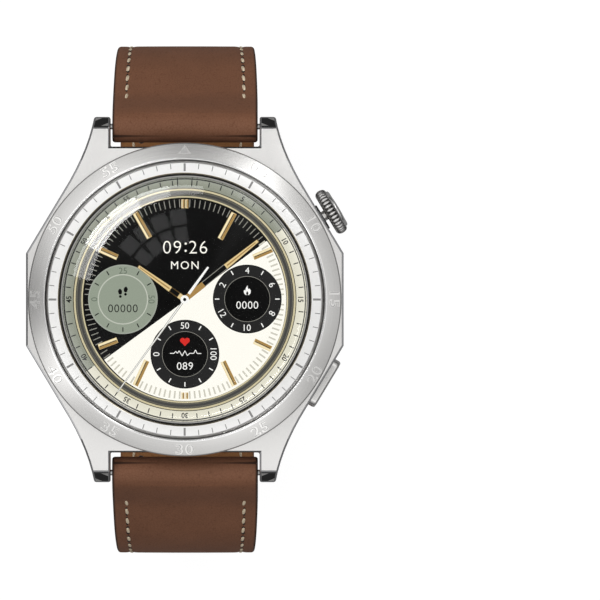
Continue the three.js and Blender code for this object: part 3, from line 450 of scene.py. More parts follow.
bezel_low, bezel_high = box_mm("outer_bezel")
bezel_r, bezel_top = bezel_high.x, bezel_high.z
bezel_in = 20.5
slope_in, slope_out = 20.95, bezel_r
slope_high, slope_low = bezel_top - 0.06, bezel_low.z + 1.75
bezel = turned("bezel", rounded([
    (bezel_in, bezel_low.z), (bezel_in + 0.9, bezel_low.z), (bezel_in + 0.9, bezel_low.z + 1.0),
    (bezel_r, bezel_low.z + 1.0), (bezel_r, slope_low), (slope_in, slope_high), (slope_in - 0.18, bezel_top),
    (bezel_in + 0.08, bezel_top - 0.04), (bezel_in, bezel_top - 0.35),
], [0, 0, 0, 0.12, 0.22, 0.05, 0.07, 0.08, 0.05]), steps=288)
satin = brushed("bezel_satin", (0.77, 0.76, 0.745, 1), 0.23, (2.0, 60000, 60000), around_z=True, depth=0.1,
                tone=0.10)
polished = brushed("steel_polished", (0.83, 0.825, 0.815, 1), 0.1, (4000, 4000, 4000), depth=0.02, tone=0.05)
dress(bezel, "case", ["outer_bezel"], [satin, polished])
for face in bezel.data.polygons:
    face_r, face_high = math.hypot(*face.center[:2]) / MM, face.center.z / MM
    if bezel_in - 1 < face_r < slope_in - 0.01 and face_high > bezel_top - 0.5:
        face.material_index = 1


def glyphs(text, height, spread=1.0, weight=0.0):
    """Text as flat triangles, (points, faces): centred, its capitals that high in mm, and fattened by weight."""
    curve = bpy.data.curves.new("text", "FONT")
    curve.body = text
    curve.align_x, curve.align_y = "CENTER", "CENTER"
    curve.space_character = spread
    curve.offset = weight
    curve.resolution_u = 4
    holder = bpy.data.objects.new("text", curve)
    bpy.context.collection.objects.link(holder)
    bpy.context.view_layer.update()
    mesh = holder.evaluated_get(bpy.context.evaluated_depsgraph_get()).to_mesh()
    points = read_points(mesh)[:, :2]
    faces = [tuple(p.vertices) for p in mesh.polygons]
    bpy.data.objects.remove(holder)
    bpy.data.curves.remove(curve)
    low_xy, high_xy = points.min(0), points.max(0)
    tall = 0.729 + 2 * weight
    return (points - (low_xy + high_xy) / 2) * (height / tall), faces


class Sheet:
    """Flat shapes gathered for one thin printed or inlaid piece, in mm on a plane or bent to the bezel's slope."""

    def __init__(self):
        self.points, self.faces = [], []

    def add(self, points, faces, turn=0.0, at=(0, 0)):
        """Shapes turned by turn radians, then moved to at."""
        c, s = math.cos(turn), math.sin(turn)
        points = np.asarray(points, float)
        x, y = points[:, 0], points[:, 1]
        base = len(self.points)
        self.points += np.stack([c * x - s * y + at[0], s * x + c * y + at[1], 0 * x], 1).tolist()
        self.faces += [tuple(base + i for i in f) for f in faces]
        return self

    def line(self, a, b, wide, wide_end=None):
        """A straight bar from a to b, with its width at each end."""
        a, b = np.array(a, float), np.array(b, float)
        side = np.array([a[1] - b[1], b[0] - a[0]]) / np.linalg.norm(b - a) / 2
        end = wide if wide_end is None else wide_end
        return self.add([a + side * wide, a - side * wide, b - side * end, b + side * end], [(0, 1, 2, 3)])

    def disc(self, centre, outer, inner=0.0, start=0.0, stop=360.0, steps=96):
        """A disc, or a ring where it has an inner radius, over a range of angles."""
        a = np.radians(np.linspace(start, stop, steps + 1))
        rim = np.stack([np.cos(a), np.sin(a)], 1)
        points = np.vstack([rim * outer, rim * inner])
        faces = [(i, i + 1, steps + 2 + i, steps + 1 + i) for i in range(steps)]
        if inner == 0:
            points, faces = np.vstack([rim * outer, [(0, 0)]]), [(i, i + 1, steps + 1) for i in range(steps)]
        return self.add(points, faces, at=centre)

    def ticks(self, centre, outer, inner, wide, angles):
        """Bars pointing at a centre, at those angles in degrees."""
        for a in np.radians(angles):
            way = np.array([math.cos(a), math.sin(a)])
            self.line(way * outer + centre, way * inner + centre, wide)
        return self

    def text(self, words, height, at, turn=0.0, spread=1.0, weight=0.0, squeeze=1.0):
        """Words centred on a place, turned by degrees and stretched sideways by squeeze."""
        points, faces = glyphs(words, height, spread, weight)
        return self.add(points * (squeeze, 1), faces, math.radians(turn), at)

    def build(self, name, z, thick=0.012, lift=None):
        """The piece: every shape raised by z, or to lift's height for its radius, and thickened downward."""
        points = np.array(self.points)
        points[:, 2] += z if lift is None else lift(np.hypot(points[:, 0], points[:, 1]))
        mesh = bpy.data.meshes.new(name)
        mesh.from_pydata((points * MM).tolist(), [], self.faces)
        work = bmesh.new()
        work.from_mesh(mesh)
        bmesh.ops.remove_doubles(work, verts=work.verts, dist=1e-9)
        for face in work.faces:
            face.normal_update()
            if face.normal.z < 0:
                face.normal_flip()
        bmesh.ops.solidify(work, geom=work.faces[:], thickness=thick * MM)
        bmesh.ops.recalc_face_normals(work, faces=work.faces)
        work.to_mesh(mesh)
        work.free()
        obj = bpy.data.objects.new(name, mesh)
        bpy.context.collection.objects.link(obj)
        return obj


def slope(radii):
    """The bezel's height at a radius, in mm."""
    share = (np.asarray(radii) - slope_in) / (slope_out - slope_in)
    return slope_high + (slope_low - slope_high) * share + 0.012


engraved, filled = Sheet(), Sheet()
for k in range(12):
    bearing = math.radians(90 - 30 * k)
    upside = 3 < k < 9
    at = (22.0 * math.cos(bearing), 22.0 * math.sin(bearing))
    turn = math.degrees(bearing) - 90 + (180 if upside else 0)
    if k == 0:
        for sheet, size in ((engraved, 1.0), (filled, 0.62)):
            sheet.add(np.array([(-1.0, -0.62), (1.0, -0.62), (0, 0.72)]) * size, [(0, 1, 2)],
                      bearing - math.pi / 2, at)
        continue
    engraved.text(f"{5 * k:02d}", 1.6, at, turn, weight=0.03, spread=1.16, squeeze=1.28)
    filled.text(f"{5 * k:02d}", 1.4, at, turn, weight=-0.022, spread=1.30, squeeze=1.28)
# The numerals' outline colour is a painted highlight on the engraving's edges, and their fill colour is painted
# shade inside the cut.
engraving_edge_painted_highlight, _, _ = material("engraving_edge", (0.90, 0.89, 0.87, 1), 0.2, 1.0)
engraving_floor_painted_shade = brushed("engraving_floor", (0.64, 0.635, 0.625, 1), 0.42, (3000, 3000, 3000), depth=0.2, tone=0.2)
dress(engraved.build("bezel_engraving", 0, 0.02, slope), "case", mats=[engraving_edge_painted_highlight])
dress(filled.build("bezel_engraving_floor", 0, 0.02, lambda r: slope(r) + 0.006), "case",
      mats=[engraving_floor_painted_shade])

# ---- Tick ring ----
# The flat brushed ring inside the bezel, with sixty engraved ticks, bold at each five minutes, whose dark steel
# colour is painted shade in the cuts.
# Its inner edge is polished, with a warm cream colour that is a painted highlight, and the crystal's grey gasket
# sits inside it.
ring_low, ring_high = box_mm("tick_ring")
ring_in, ring_out, ring_top = 18.45, ring_high.x, ring_high.z
tick_ring = turned("tick_ring_turned", rounded([
    (ring_in, ring_low.z), (ring_out, ring_low.z), (ring_out, ring_top - 0.32),
    (ring_out - 0.12, ring_top - 0.22), (ring_in + 0.2, ring_top), (ring_in, ring_top - 0.16),
], [0, 0, 0.05, 0.1, 0.06, 0.06]), steps=256)
ring_steel = brushed("ring_brushed", (0.95, 0.945, 0.93, 1), 0.36, (900.0, 3000, 3000), around_z=True,
                     depth=0.1, tone=0.10)
# The inner edge's warm cream colour is a painted highlight on the steel.
edge_painted_highlight = brushed("ring_inner_edge", (0.86, 0.78, 0.62, 1), 0.15, (3000, 3000, 3000), depth=0.02, tone=0.05)
dress(tick_ring, "case", ["tick_ring"], [ring_steel, edge_painted_highlight])
for face in tick_ring.data.polygons:
    if math.hypot(*face.center[:2]) / MM < ring_in + 0.19:
        face.material_index = 1
bold, thin = Sheet(), Sheet()
bold.ticks((0, 0), 20.0, 18.85, 0.3, np.arange(0, 360, 30))
thin.ticks((0, 0), 20.0, 19.25, 0.12, [a for a in range(0, 360, 6) if a % 30])


def ring_slope(radii):
    """The tick ring's height at a radius, in mm."""
    return ring_top - 0.22 * (np.asarray(radii) - ring_in - 0.2) / (ring_out - ring_in - 0.32) + 0.012


# The ticks' dark steel colour is painted shade inside the engraved cuts.
tick_painted_shade = brushed("tick_etched", (0.36, 0.355, 0.35, 1), 0.5, (3000, 3000, 3000), depth=0.2, tone=0.25)
dress(bold.build("ring_ticks_bold", 0, 0.02, ring_slope), "case", mats=[tick_painted_shade])
dress(thin.build("ring_ticks_thin", 0, 0.02, ring_slope), "case", mats=[tick_painted_shade])
gasket_low, gasket_high = box_mm("crystal_gasket")
gasket = turned("gasket_turned", rounded([
    (18.0, gasket_low.z), (gasket_high.x, gasket_low.z), (gasket_high.x, gasket_high.z),
    (18.0, gasket_high.z),
], [0, 0, 0.05, 0.05]))
rubber = brushed("gasket_rubber", (0.36, 0.355, 0.34, 1), 0.4, (2500, 2500, 2500), depth=0.15)
rubber.node_tree.nodes["Principled BSDF"].inputs["Metallic"].default_value = 0.0
dress(gasket, "case", ["crystal_gasket"], [rubber])

# ---- Lit display ----
# The display is a black panel that shines through the crystal: every mark on it is its own light.
# It is black above a slanting line and cream below it, with a minute track and a stepped grey ring outside.
panel_low, panel_high = box_mm("display_panel")
face_z = panel_high.z


def disc(name, outline, steps=256):
    """Turn an open (radius, z) outline about Z, with its two ends closed on the axis."""
    outline = np.asarray(outline, float) * MM
    a = np.linspace(0, 2 * math.pi, steps, endpoint=False)[None]
    r, z = outline[:, 0][:, None], outline[:, 1][:, None]
    return loft(name, np.stack([r * np.cos(a), r * np.sin(a), z + 0 * a], 2), closed=False)


panel = disc("display_disc", [(17.8, panel_low.z), (17.8, face_z - 0.05), (17.75, face_z)])
lit_grid, l_in, l_out = group("lit_grid", [("Vector", "NodeSocketVector", None)],
                              [("Light", "NodeSocketFloat")])
cells = noise(lit_grid, l_in.outputs["Vector"], 9000.0, 1.0)
evened = span(lit_grid, cells, to_low=0.97, to_high=1.03)
lit_grid.links.new(evened, l_out.inputs["Light"])


def lit(name, colour):
    """A part of what the display shows: its colour is given off evenly, with a trace of the panel's grain."""
    made, tree, shader = material(name, (0.002, 0.002, 0.002, 1), 0.5, Specular_IOR_Level=0.0)
    grain = use(tree, lit_grid, Vector=here(tree))
    glowing = blended(tree, 1.0, srgb(*colour), grain.outputs["Light"], "MULTIPLY")
    tree.links.new(glowing, shader.inputs["Emission Color"])
    shader.inputs["Emission Strength"].default_value = 1.08
    return made


ink = {
    "black": (13, 13, 13), "cream": (255, 253, 243), "white": (250, 250, 246), "gold": (224, 200, 146),
    "deep_gold": (168, 134, 78), "brown": (88, 70, 40), "cream_gold": (245, 230, 188),
    "champagne": (206, 196, 160), "track": (205, 202, 188), "sage_ink": (104, 114, 100),
    "coal": (38, 38, 38), "grey": (102, 100, 91), "dark_grey": (71, 71, 69), "sage": (148, 157, 141),
    "light_sage": (163, 169, 157), "pale_sage": (196, 201, 186), "bone": (226, 223, 205),
    "mist": (146, 150, 136), "red": (214, 48, 42), "mid_grey": (150, 149, 140),
}
ink = {name: lit(f"lit_{name}", value) for name, value in ink.items()}
dress(panel, "case", ["display_panel"], [ink["black"]])
print_no = 0


def show(colour, level, draw):
    """One flat part of the display: draw fills a Sheet, and level sets which parts lie over which."""
    global print_no
    sheet = Sheet()
    draw(sheet)
    print_no += 1
    obj = sheet.build(f"display_{print_no:02d}_{colour}", face_z + 0.02 + level * 0.012, 0.008)
    return dress(obj, "case", mats=[ink[colour]])


# The slanting line between the black and the cream, through the dial's middle.
dial_r = 14.95
slant = math.degrees(math.atan2(9.02 + 8.73, 12.1 + 12.18))
show("mist", 0, lambda s: s.disc((0, 0), 17.5, 16.4, slant, slant + 180))
show("bone", 0, lambda s: s.disc((0, 0), 17.5, 16.4, slant + 180, slant + 360))
show("champagne", 0, lambda s: s.disc((0, 0), 17.78, 17.58))
show("champagne", 0, lambda s: s.disc((0, 0), 16.3, 16.02))
show("grey", 0, lambda s: s.disc((0, 0), 15.95, 15.75).disc((0, 0), 15.42, 15.2))
show("dark_grey", 0, lambda s: s.disc((0, 0), 15.74, 15.43))
show("champagne", 0, lambda s: s.disc((0, 0), 15.18, 14.97))
show("black", 1, lambda s: s.disc((0, 0), dial_r))
show("cream", 2, lambda s: s.disc((0.12, -0.12), dial_r - 0.17, 0, slant - 180, slant, 120))


def draw_minutes(s):
    """The track's small numerals, each with its top outward."""
    for k in range(1, 12):
        a = math.radians(90 - 30 * k)
        s.text(str(5 * k), 0.78, (17.0 * math.cos(a), 17.0 * math.sin(a)), -30 * k, weight=0.02)


show("black", 3, draw_minutes)
show("black", 3, lambda s: s.ticks((0, 0), 17.46, 16.8, 0.15, [a for a in range(0, 360, 6) if a % 30]))
show("black", 3, lambda s: s.ticks((0, 0), 17.5, 16.6, 0.16, [86.5, 93.5]))
spaced = [a for a in range(0, 360, 3) if a % 30 > 1 and a % 30 < 29]
dark_side = [a for a in spaced if (a - slant) % 360 < 180]
show("mid_grey", 4, lambda s: s.ticks((0, 0), 14.7, 13.55, 0.12, dark_side))
show("track", 4, lambda s: s.ticks((0, 0), 14.6, 13.5, 0.24, [a for a in spaced if a not in dark_side]))

# ---- Small dials ----
# Three counters: sage at 9 o'clock, black at 3 and 6, each with a stepped rim, ticks, an icon and digits.
# They lie over the slanting line.
left, right, bottom = (-9.07, 0.03), (9.18, 0.07), (0.03, -8.02)
show("light_sage", 5, lambda s: s.disc(left, 5.1))
show("sage", 6, lambda s: s.disc(left, 4.94, 3.72))
show("pale_sage", 6, lambda s: s.disc(left, 3.68, 3.56))
show("sage", 6, lambda s: s.disc(left, 3.5))
for centre in (right, bottom):
    show("black", 5, lambda s: s.disc(centre, 5.05))
    show("coal", 6, lambda s: s.disc(centre, 4.95, 3.34))
    show("mid_grey", 7, lambda s: s.disc(centre, 3.36, 3.30))


def round_text(s, centre, words, bearing, height):
    """Text on a rim at a bearing, its top outward in the upper half and inward in the lower half."""
    a = math.radians(bearing)
    s.text(words, height, (centre[0] + 4.2 * math.cos(a), centre[1] + 4.2 * math.sin(a)),
           bearing + (90 if math.sin(a) < -0.1 else -90))


def draw_sage_marks(s):
    """Ticks, digits and a pair of footprints."""
    s.ticks(left, 4.75, 4.1, 0.15, [a for a in range(0, 360, 30) if a not in (0, 90, 180)])
    s.text("00000", 1.2, (left[0], left[1] - 1.33), spread=1.08, weight=-0.006)
    for side in (-1, 1):
        x, y = left[0] + side * 0.42, left[1] + 1.0 + side * 0.16
        for cx, cy, r in ((0, 0.32, 0.3), (side * -0.02, 0.12, 0.26), (side * -0.04, -0.42, 0.2),
                          (side * 0.02, 0.55, 0.16)):
            s.disc((x + cx, y + cy), r, steps=20)


def draw_right_marks(s):
    """Ticks, numerals, digits and a flame."""
    s.ticks(right, 4.75, 4.1, 0.16, range(0, 360, 60))
    for k, words in enumerate(["2", "4", "6", "8", "10", "12"]):
        round_text(s, right, words, 150 - 60 * k, 0.98)
    s.text("0000", 1.15, (right[0], right[1] - 0.88), spread=1.06, weight=-0.004)
    x, y = right[0], right[1] + 1.2
    flame = [(-0.2, -0.62), (-0.43, -0.42), (-0.52, -0.1), (-0.44, 0.18), (-0.3, 0.02), (-0.2, 0.45),
             (0.05, 0.82), (0.08, 0.4), (0.26, 0.2), (0.34, 0.36), (0.52, 0.02), (0.48, -0.36), (0.22, -0.62)]
    heart = [(-0.06, -0.6), (-0.16, -0.46), (-0.17, -0.3), (-0.12, -0.2), (-0.08, -0.14), (-0.04, -0.1),
             (0.0, -0.02), (0.03, -0.08), (0.06, -0.12), (0.09, -0.18), (0.15, -0.28), (0.16, -0.44), (0.07, -0.6)]
    s.add(flame + heart, [(i, i + 1, i + 14, i + 13) for i in range(12)], at=(x, y))


def draw_bottom_marks(s):
    """Ticks, numerals, digits and a pulse line."""
    s.ticks(bottom, 4.75, 4.1, 0.16, [a for a in range(0, 360, 30) if a not in (0, 90, 180)])
    round_text(s, bottom, "0", 180, 0.98)
    round_text(s, bottom, "50", 90, 0.98)
    round_text(s, bottom, "100", 0, 0.98)
    s.text("089", 1.15, (bottom[0], bottom[1] - 1.74), spread=1.06, weight=-0.004)
    pulse = [(-2.2, 0.12), (-1.6, 0.12), (-1.35, 0.42), (-1.1, 0.12), (-0.85, 0.5), (-0.4, -0.25), (0.0, 0.5),
             (0.35, -0.2), (0.7, 0.12), (1.3, 0.12), (1.55, 0.62), (1.8, 0.1), (2.4, 0.1)]
    for a, b in zip(pulse, pulse[1:]):
        s.line((bottom[0] + a[0], bottom[1] + a[1]), (bottom[0] + b[0], bottom[1] + b[1]), 0.11)


show("black", 8, draw_sage_marks)
sage_digits = (("0", 180), ("25", 90), ("50", 0))
show("sage_ink", 8, lambda s: [round_text(s, left, words, bearing, 0.95) for words, bearing in sage_digits])
show("white", 8, draw_right_marks)
show("white", 8, draw_bottom_marks)


def draw_heart(s):
    """Two discs over a wedge, with the notch between them filled."""
    x, y = bottom[0], bottom[1] + 1.85
    s.disc((x - 0.33, y + 0.17), 0.38, steps=24).disc((x + 0.33, y + 0.17), 0.38, steps=24)
    s.add([(-0.67, 0.02), (0.67, 0.02), (0, -0.68)], [(0, 1, 2)], at=(x, y))
    s.add([(-0.3, 0.3), (0.3, 0.3), (0, -0.2)], [(0, 1, 2)], at=(x, y))


def draw_time(s):
    """The time and the day, in the dial's upper part."""
    s.text("09", 1.95, (-1.85, 7.68), spread=1.1, weight=-0.012)
    s.text("26", 1.95, (1.98, 7.68), spread=1.1, weight=-0.012)
    s.disc((0.14, 8.2), 0.17, steps=20).disc((0.14, 7.15), 0.17, steps=20)
    s.text("MON", 1.2, (0.015, 5.04), spread=1.22)


show("red", 9, draw_heart)
show("cream", 8, draw_time)

# ---- Hour marks and hands ----
# Gold bars with a dark middle line, then the hands: hour at 10, minute at 2, and a long thin second hand.
# Each hand lies a little over the one before it.
bars = [
    ((7.26, 12.69), (5.21, 8.88)), ((-7.26, 12.73), (-5.16, 9.07)), ((-12.5, 7.36), (-9.89, 6.19)),
    ((12.84, 7.36), (10.08, 6.19)), ((-12.63, -6.98), (-9.89, -5.94)), ((12.69, -7.26), (10.2, -6.09)),
    ((-7.26, -12.62), (-5.56, -8.95)), ((7.33, -12.62), (5.63, -9.08)), ((-0.27, 14.7), (-0.27, 13.4)),
    ((0.3, 14.7), (0.3, 13.4)), ((-0.27, -13.65), (-0.27, -14.6)), ((0.3, -13.65), (0.3, -14.6)),
]


def draw_bars(s, wide, short, inset, aside=0.0):
    """The hour bars, or a line along each: shorter by inset and moved sideways by aside."""
    for n, (a, b) in enumerate(bars):
        a, b = np.array(a), np.array(b)
        way = (b - a) / np.linalg.norm(b - a)
        shift = np.array([abs(way[1]), -way[0] * np.sign(way[1])]) * aside * (0.5 if n > 7 else 1)
        s.line(a + way * inset + shift, b - way * inset + shift, short if n > 7 else wide)


show("gold", 9, lambda s: draw_bars(s, 0.84, 0.44, 0.0))
show("cream_gold", 10, lambda s: draw_bars(s, 0.34, 0.16, 0.05, -0.2))
show("deep_gold", 10, lambda s: draw_bars(s, 0.3, 0.14, 0.05, 0.24))
show("brown", 11, lambda s: draw_bars(s, 0.15, 0.07, 0.12))


def toward(tip, share):
    """A point on the way from the dial's middle to a hand's tip."""
    return (tip[0] * share, tip[1] * share)


hour, minute, second = (-6.78, 4.84), (10.71, 8.61), (-9.87, -13.6)
hands = [  # strokes by hand, shares of its length from and to, and the width at each end
    ("brown", 12, [(hour, 0.0, 1.01, 0.94, 0.5)]),
    ("gold", 13, [(hour, 0.31, 1.0, 0.82, 0.4), (hour, 0.0, 0.13, 0.72, 0.78)]),
    ("deep_gold", 14, [(hour, 0.33, 0.97, 0.2, 0.14)]),
    ("black", 14, [(hour, 0.13, 0.30, 0.56, 0.6)]),
    ("mid_grey", 14, [(minute, 0.25, 0.57, 0.86, 0.84)]),
    ("black", 15, [(minute, 0.24, 0.57, 0.66, 0.66)]),
    ("brown", 15, [(minute, 0.56, 1.01, 0.92, 0.5)]),
    ("gold", 16, [(minute, 0.56, 1.0, 0.78, 0.4)]),
    ("deep_gold", 17, [(minute, 0.0, 0.26, 0.84, 0.9), (minute, 0.58, 0.97, 0.2, 0.14)]),
    ("mid_grey", 17, [(second, 0.0, 1.0, 0.34, 0.2)]),
]
for colour, level, strokes in hands:
    show(colour, level, lambda s: [s.line(toward(hand, a), toward(hand, b), *widths)
                                   for hand, a, b, *widths in strokes])
show("white", 18, lambda s: s.line((0.6, 0.83), (3.45, 4.77), 0.42, 0.3).line((0, 0), second, 0.16, 0.08)
     .disc((0, 0), 0.62, steps=40))
show("black", 19, lambda s: s.disc((0, 0), 0.24, steps=24))

# ---- Crystal ----
# Domed clear glass, seated in its grey gasket.
# Its faint smears vary the gloss only.
glass_low, glass_high = box_mm("crystal")
dome = np.linspace(17.55, 0.0, 24)[:-1]
glass_r, glass_top = 17.95, glass_high.z
crystal = disc("crystal_dome", [
    (glass_r, glass_low.z), (glass_r, glass_top - 0.62), (17.88, glass_top - 0.5), (17.75, glass_top - 0.41),
    *((r, glass_top - 0.36 * (r / glass_r) ** 2) for r in dome), (0.4, glass_top),
])
clear, clear_tree, clear_shader = material("crystal_clear", (1, 1, 1, 1), 0.02, IOR=1.5,
                                           Transmission_Weight=1.0)
smear = noise(clear_tree, here(clear_tree), 60.0)
faint = span(clear_tree, smear, to_low=0.005, to_high=0.03)
clear_tree.links.new(faint, clear_shader.inputs["Roughness"])
dress(crystal, "case", ["crystal"], [clear])

# ---- Crown ----
# A knurled knob with a polished domed end, on a collar painted dark that stands out of the case's slanted facet.
# Everything is turned about the crown's own axis, from the stem inside to the cap outside.
crown_base = Vector((20.158, 12.112, 5.9)) * MM
crown_turn = Matrix.Rotation(math.radians(31), 4, "Z") @ Matrix.Rotation(math.radians(90), 4, "Y")


def mark(obj, name, values):
    """Write one value for each vertex into a new attribute."""
    obj.data.attributes.new(name, "FLOAT", "POINT").data.foreach_set("value", values.astype(np.float32))
    return obj


def along_axis(rings, base, turn):
    """Rings made about +Z, in mm, laid on an axis that starts at base."""
    rings = np.asarray(rings, float) * MM
    rot = np.array(turn.to_3x3())
    return rings @ rot.T + np.array(base)


def spun(outline, steps, wave=None):
    """A (radius, height) outline turned about Z as rings[angle, point], with wave(angle, radius, height)
    added to the radius."""
    outline = np.asarray(outline, float)
    a = np.linspace(0, 2 * math.pi, steps, endpoint=False)[:, None]
    r, z = (np.broadcast_to(column, (steps, len(outline))) for column in outline.T)
    r = r + (wave(a, r, z) if wave else 0)
    return np.stack([r * np.cos(a), r * np.sin(a), z], 2)


def knurl(a, r, z):
    """Ridges along the rim: 0.27 (|sin 17 a|^0.75 - 1) where the radius is near its largest, fading
    into the chamfers."""
    rim = np.clip((r - 3.1) / 0.3, 0, 1) * np.clip((z - 0.78) / 0.25, 0, 1) * np.clip((2.42 - z) / 0.22, 0, 1)
    return 0.27 * (np.abs(np.sin(17 * a)) ** 0.75 - 1) * rim


knob_outline = rounded([
    (0.9, 0.72), (3.05, 0.72), (3.36, 0.92), (3.56, 1.3), (3.56, 1.85), (3.38, 2.25), (3.1, 2.44),
    (2.98, 2.40), (2.96, 2.2), (0.9, 2.2),
], [0, 0.1, 0.1, 0.2, 0.2, 0.1, 0.06, 0.03, 0.02, 0])
knob = loft("crown_knurled", along_axis(spun(knob_outline, 34 * 14, knurl), crown_base, crown_turn))
co = read_points(knob.data) - np.array(crown_base)
out_way = np.array(crown_turn.to_3x3())[:, 2]
up_along = co @ out_way
off = np.linalg.norm(co - up_along[:, None] * out_way, axis=1) / MM
up_along /= MM
# Painted shade: the valley attribute darkens the knurl's grooves to near-black in the base colour.
mark(knob, "valley", np.clip((3.53 - off) / 0.2, 0, 1) * (off > 3.2) * (up_along > 0.9) * (up_along < 2.3))
knob_steel, knob_tree, knob_shader = material("crown_brushed", (0.74, 0.73, 0.715, 1), 0.2, 1.0)
fine_lines = use(knob_tree, brushing, Vector=here(knob_tree), Scale=(9000, 9000, 9000))
worn = blended(knob_tree, fine_lines.outputs["Shade"], (0.66, 0.65, 0.64, 1), (0.76, 0.75, 0.735, 1))
valley_shade_mask = put(knob_tree, "Attribute", attribute_name="valley")
valley_painted_shade = blended(knob_tree, valley_shade_mask.outputs["Fac"], worn, (0.06, 0.06, 0.06, 1))
knob_tree.links.new(valley_painted_shade, knob_shader.inputs["Base Color"])
dress(knob, "crown", ["crown_knob"], [knob_steel])
cap = loft("crown_end", along_axis(np.swapaxes(spun([
    (2.9, 2.24), (2.92, 2.5), (2.86, 2.66), (2.7, 2.76), (2.45, 2.8), (2.3, 2.79), (2.25, 2.75), (1.6, 2.82),
    (0.9, 2.86), (0.2, 2.87),
], 128), 0, 1), crown_base, crown_turn), closed=False)
dress(cap, "crown", ["crown_cap"], [polished])
collar = loft("crown_collar", along_axis(spun(rounded([
    (1.2, -3.5), (1.7, -3.5), (1.7, -0.4), (2.0, -0.34), (2.0, 0.12), (1.9, 0.24), (1.2, 0.24),
], [0, 0.1, 0, 0, 0.08, 0.05, 0.05]), 96), crown_base, crown_turn))
# The collar's near-black steel colour is painted shade and a painted dark reflection.
collar_painted_dark = brushed("collar_dark", (0.16, 0.16, 0.165, 1), 0.2, (5000, 5000, 5000), depth=0.05, tone=0.2)
dress(collar, "case", ["crown_tube"], [collar_painted_dark])
rod = np.swapaxes(spun([(0.7, -5.2), (0.75, -5.1), (0.75, 2.0), (0.7, 2.1)], 48), 0, 1)
stem = loft("crown_stem_turned", along_axis(rod, crown_base, crown_turn), closed=False)
dress(stem, "crown", ["crown_stem"], [polished])

# ---- Side button ----
# A long low pusher with round ends in its pocket, brushed along its length.
# Its section is a rounded bar whose outer face is slightly crowned.
button_base = Vector((20.158, -12.112, 5.9)) * MM
button_turn = Matrix.Rotation(math.radians(-31), 4, "Z") @ Matrix.Rotation(math.radians(90), 4, "Y")


def pill(length, height, steps=16):
    """The outline of a bar with round ends, long in Y: two half circles of radius height / 2."""
    a = np.linspace(0, math.pi, steps)
    cap_end = np.stack([height / 2 * np.cos(a), height / 2 * np.sin(a) + (length - height) / 2], 1)
    return np.vstack([cap_end, -cap_end])


layers = [(-1.2, 0.12), (-1.08, 0.0), (0.62, 0.0), (0.82, 0.05), (0.95, 0.17), (1.0, 0.34), (0.985, 0.42),
          (1.0, 0.5), (1.03, 0.8)]
button = loft("button_pusher", along_axis([
    np.column_stack([pill(7.8 - 2 * inset, 2.2 - 2 * inset), np.full(32, height)]) for height, inset in layers
], button_base, button_turn), closed=False)
pusher = brushed("button_brushed", (0.76, 0.75, 0.735, 1), 0.24, (9000, 9000, 900), depth=0.1, tone=0.12)
dress(button, "side_button", ["side_button"], [pusher])

# ---- Back, sensors and inside ----
# The parts under the dial and on the wrist side are the CAD solids with small bevels and their own finishes.
# The back is dark plastic round a tinted glass window; the boards, cells and screws are inside it.


def speckled(name, colour, other, scale, roughness, metallic=0.0, bump_depth=0.15):
    """A moulded or printed finish: two tones mixed by noise, with a matching bump."""
    made, tree, shader = material(name, colour, roughness, metallic)
    place = here(tree)
    lines = use(tree, brushing, Vector=place, Scale=(scale, scale, scale))
    mixed = blended(tree, lines.outputs["Shade"], colour, other)
    tree.links.new(mixed, shader.inputs["Base Color"])
    relief_on(tree, shader, bump_depth, 0.00002, lines.outputs["Height"])
    return made


moulded = speckled("moulded_black", (0.02, 0.021, 0.023, 1), (0.03, 0.031, 0.033, 1), 4000, 0.42)
backing = speckled("back_plastic", (0.05, 0.052, 0.056, 1), (0.062, 0.064, 0.068, 1), 3000, 0.3,
                   bump_depth=0.06)
laminate = speckled("board_green", (0.01, 0.06, 0.035, 1), (0.015, 0.09, 0.05, 1), 900, 0.4)
can_foil = speckled("foil_grey", (0.45, 0.46, 0.47, 1), (0.55, 0.56, 0.57, 1), 1500, 0.35, 0.9)
plated = speckled("plated_gold", (0.83, 0.6, 0.25, 1), (0.9, 0.68, 0.33, 1), 2500, 0.22, 1.0, 0.08)
turned_steel = speckled("small_steel", (0.62, 0.62, 0.62, 1), (0.74, 0.74, 0.73, 1), 3500, 0.28, 1.0, 0.08)
seal = speckled("seal_rubber", (0.014, 0.014, 0.014, 1), (0.022, 0.022, 0.022, 1), 2500, 0.7)
tinted, tint_tree, tint_shader = material("window_tinted", (0.05, 0.055, 0.06, 1), 0.04, IOR=1.5)
mottle = noise(tint_tree, here(tint_tree), 500.0)
tints = ramp(tint_tree, mottle, [(0.3, (0.012, 0.013, 0.016, 1)),
                                                (0.7, (0.02, 0.022, 0.026, 1))])
tint_tree.links.new(tints, tint_shader.inputs["Base Color"])
screws = [f"back_screw_{n}" for n in (1, 2, 3, 4)]
pins = [f"{kind}_{end}" for kind in ("spring_bar", "release_pin") for end in ("12", "6")]
finishes = [
    (moulded, "inner_plastic", ["display_holder", "speaker", "crown_switch", "button_switch"]),
    (backing, "back_plastic", ["back_cover"]),
    (laminate, "circuit_board", ["main_board", "sensor_board"]),
    (can_foil, "foil", ["shield_can", "battery"]),
    (plated, "contact_gold", ["antenna", "charge_contact_1", "charge_contact_2"]),
    (turned_steel, "small_steel", ["vibration_motor", "microphone", *screws, *pins]),
    (seal, "seal_rubber", ["back_gasket", "crown_seal"]),
    (tinted, "crystal_glass", ["sensor_window"]),
]
for finish, slot, nodes in finishes:
    for node in nodes:
        obj = bpy.data.objects[node]
        bevelled(obj, 0.06, 40)
        dress(obj, "case", mats=[finish])
window = disc("sensor_window_disc", [(11.5, 1.2), (11.5, 0.2), (11.45, 0.08), (11.3, 0.02), (11.0, 0.0)])
dress(window, "case", ["sensor_window"], [tinted])
dark_ring, eyes = Sheet(), Sheet()
dark_ring.disc((0, 0), 6.6, 6.35)
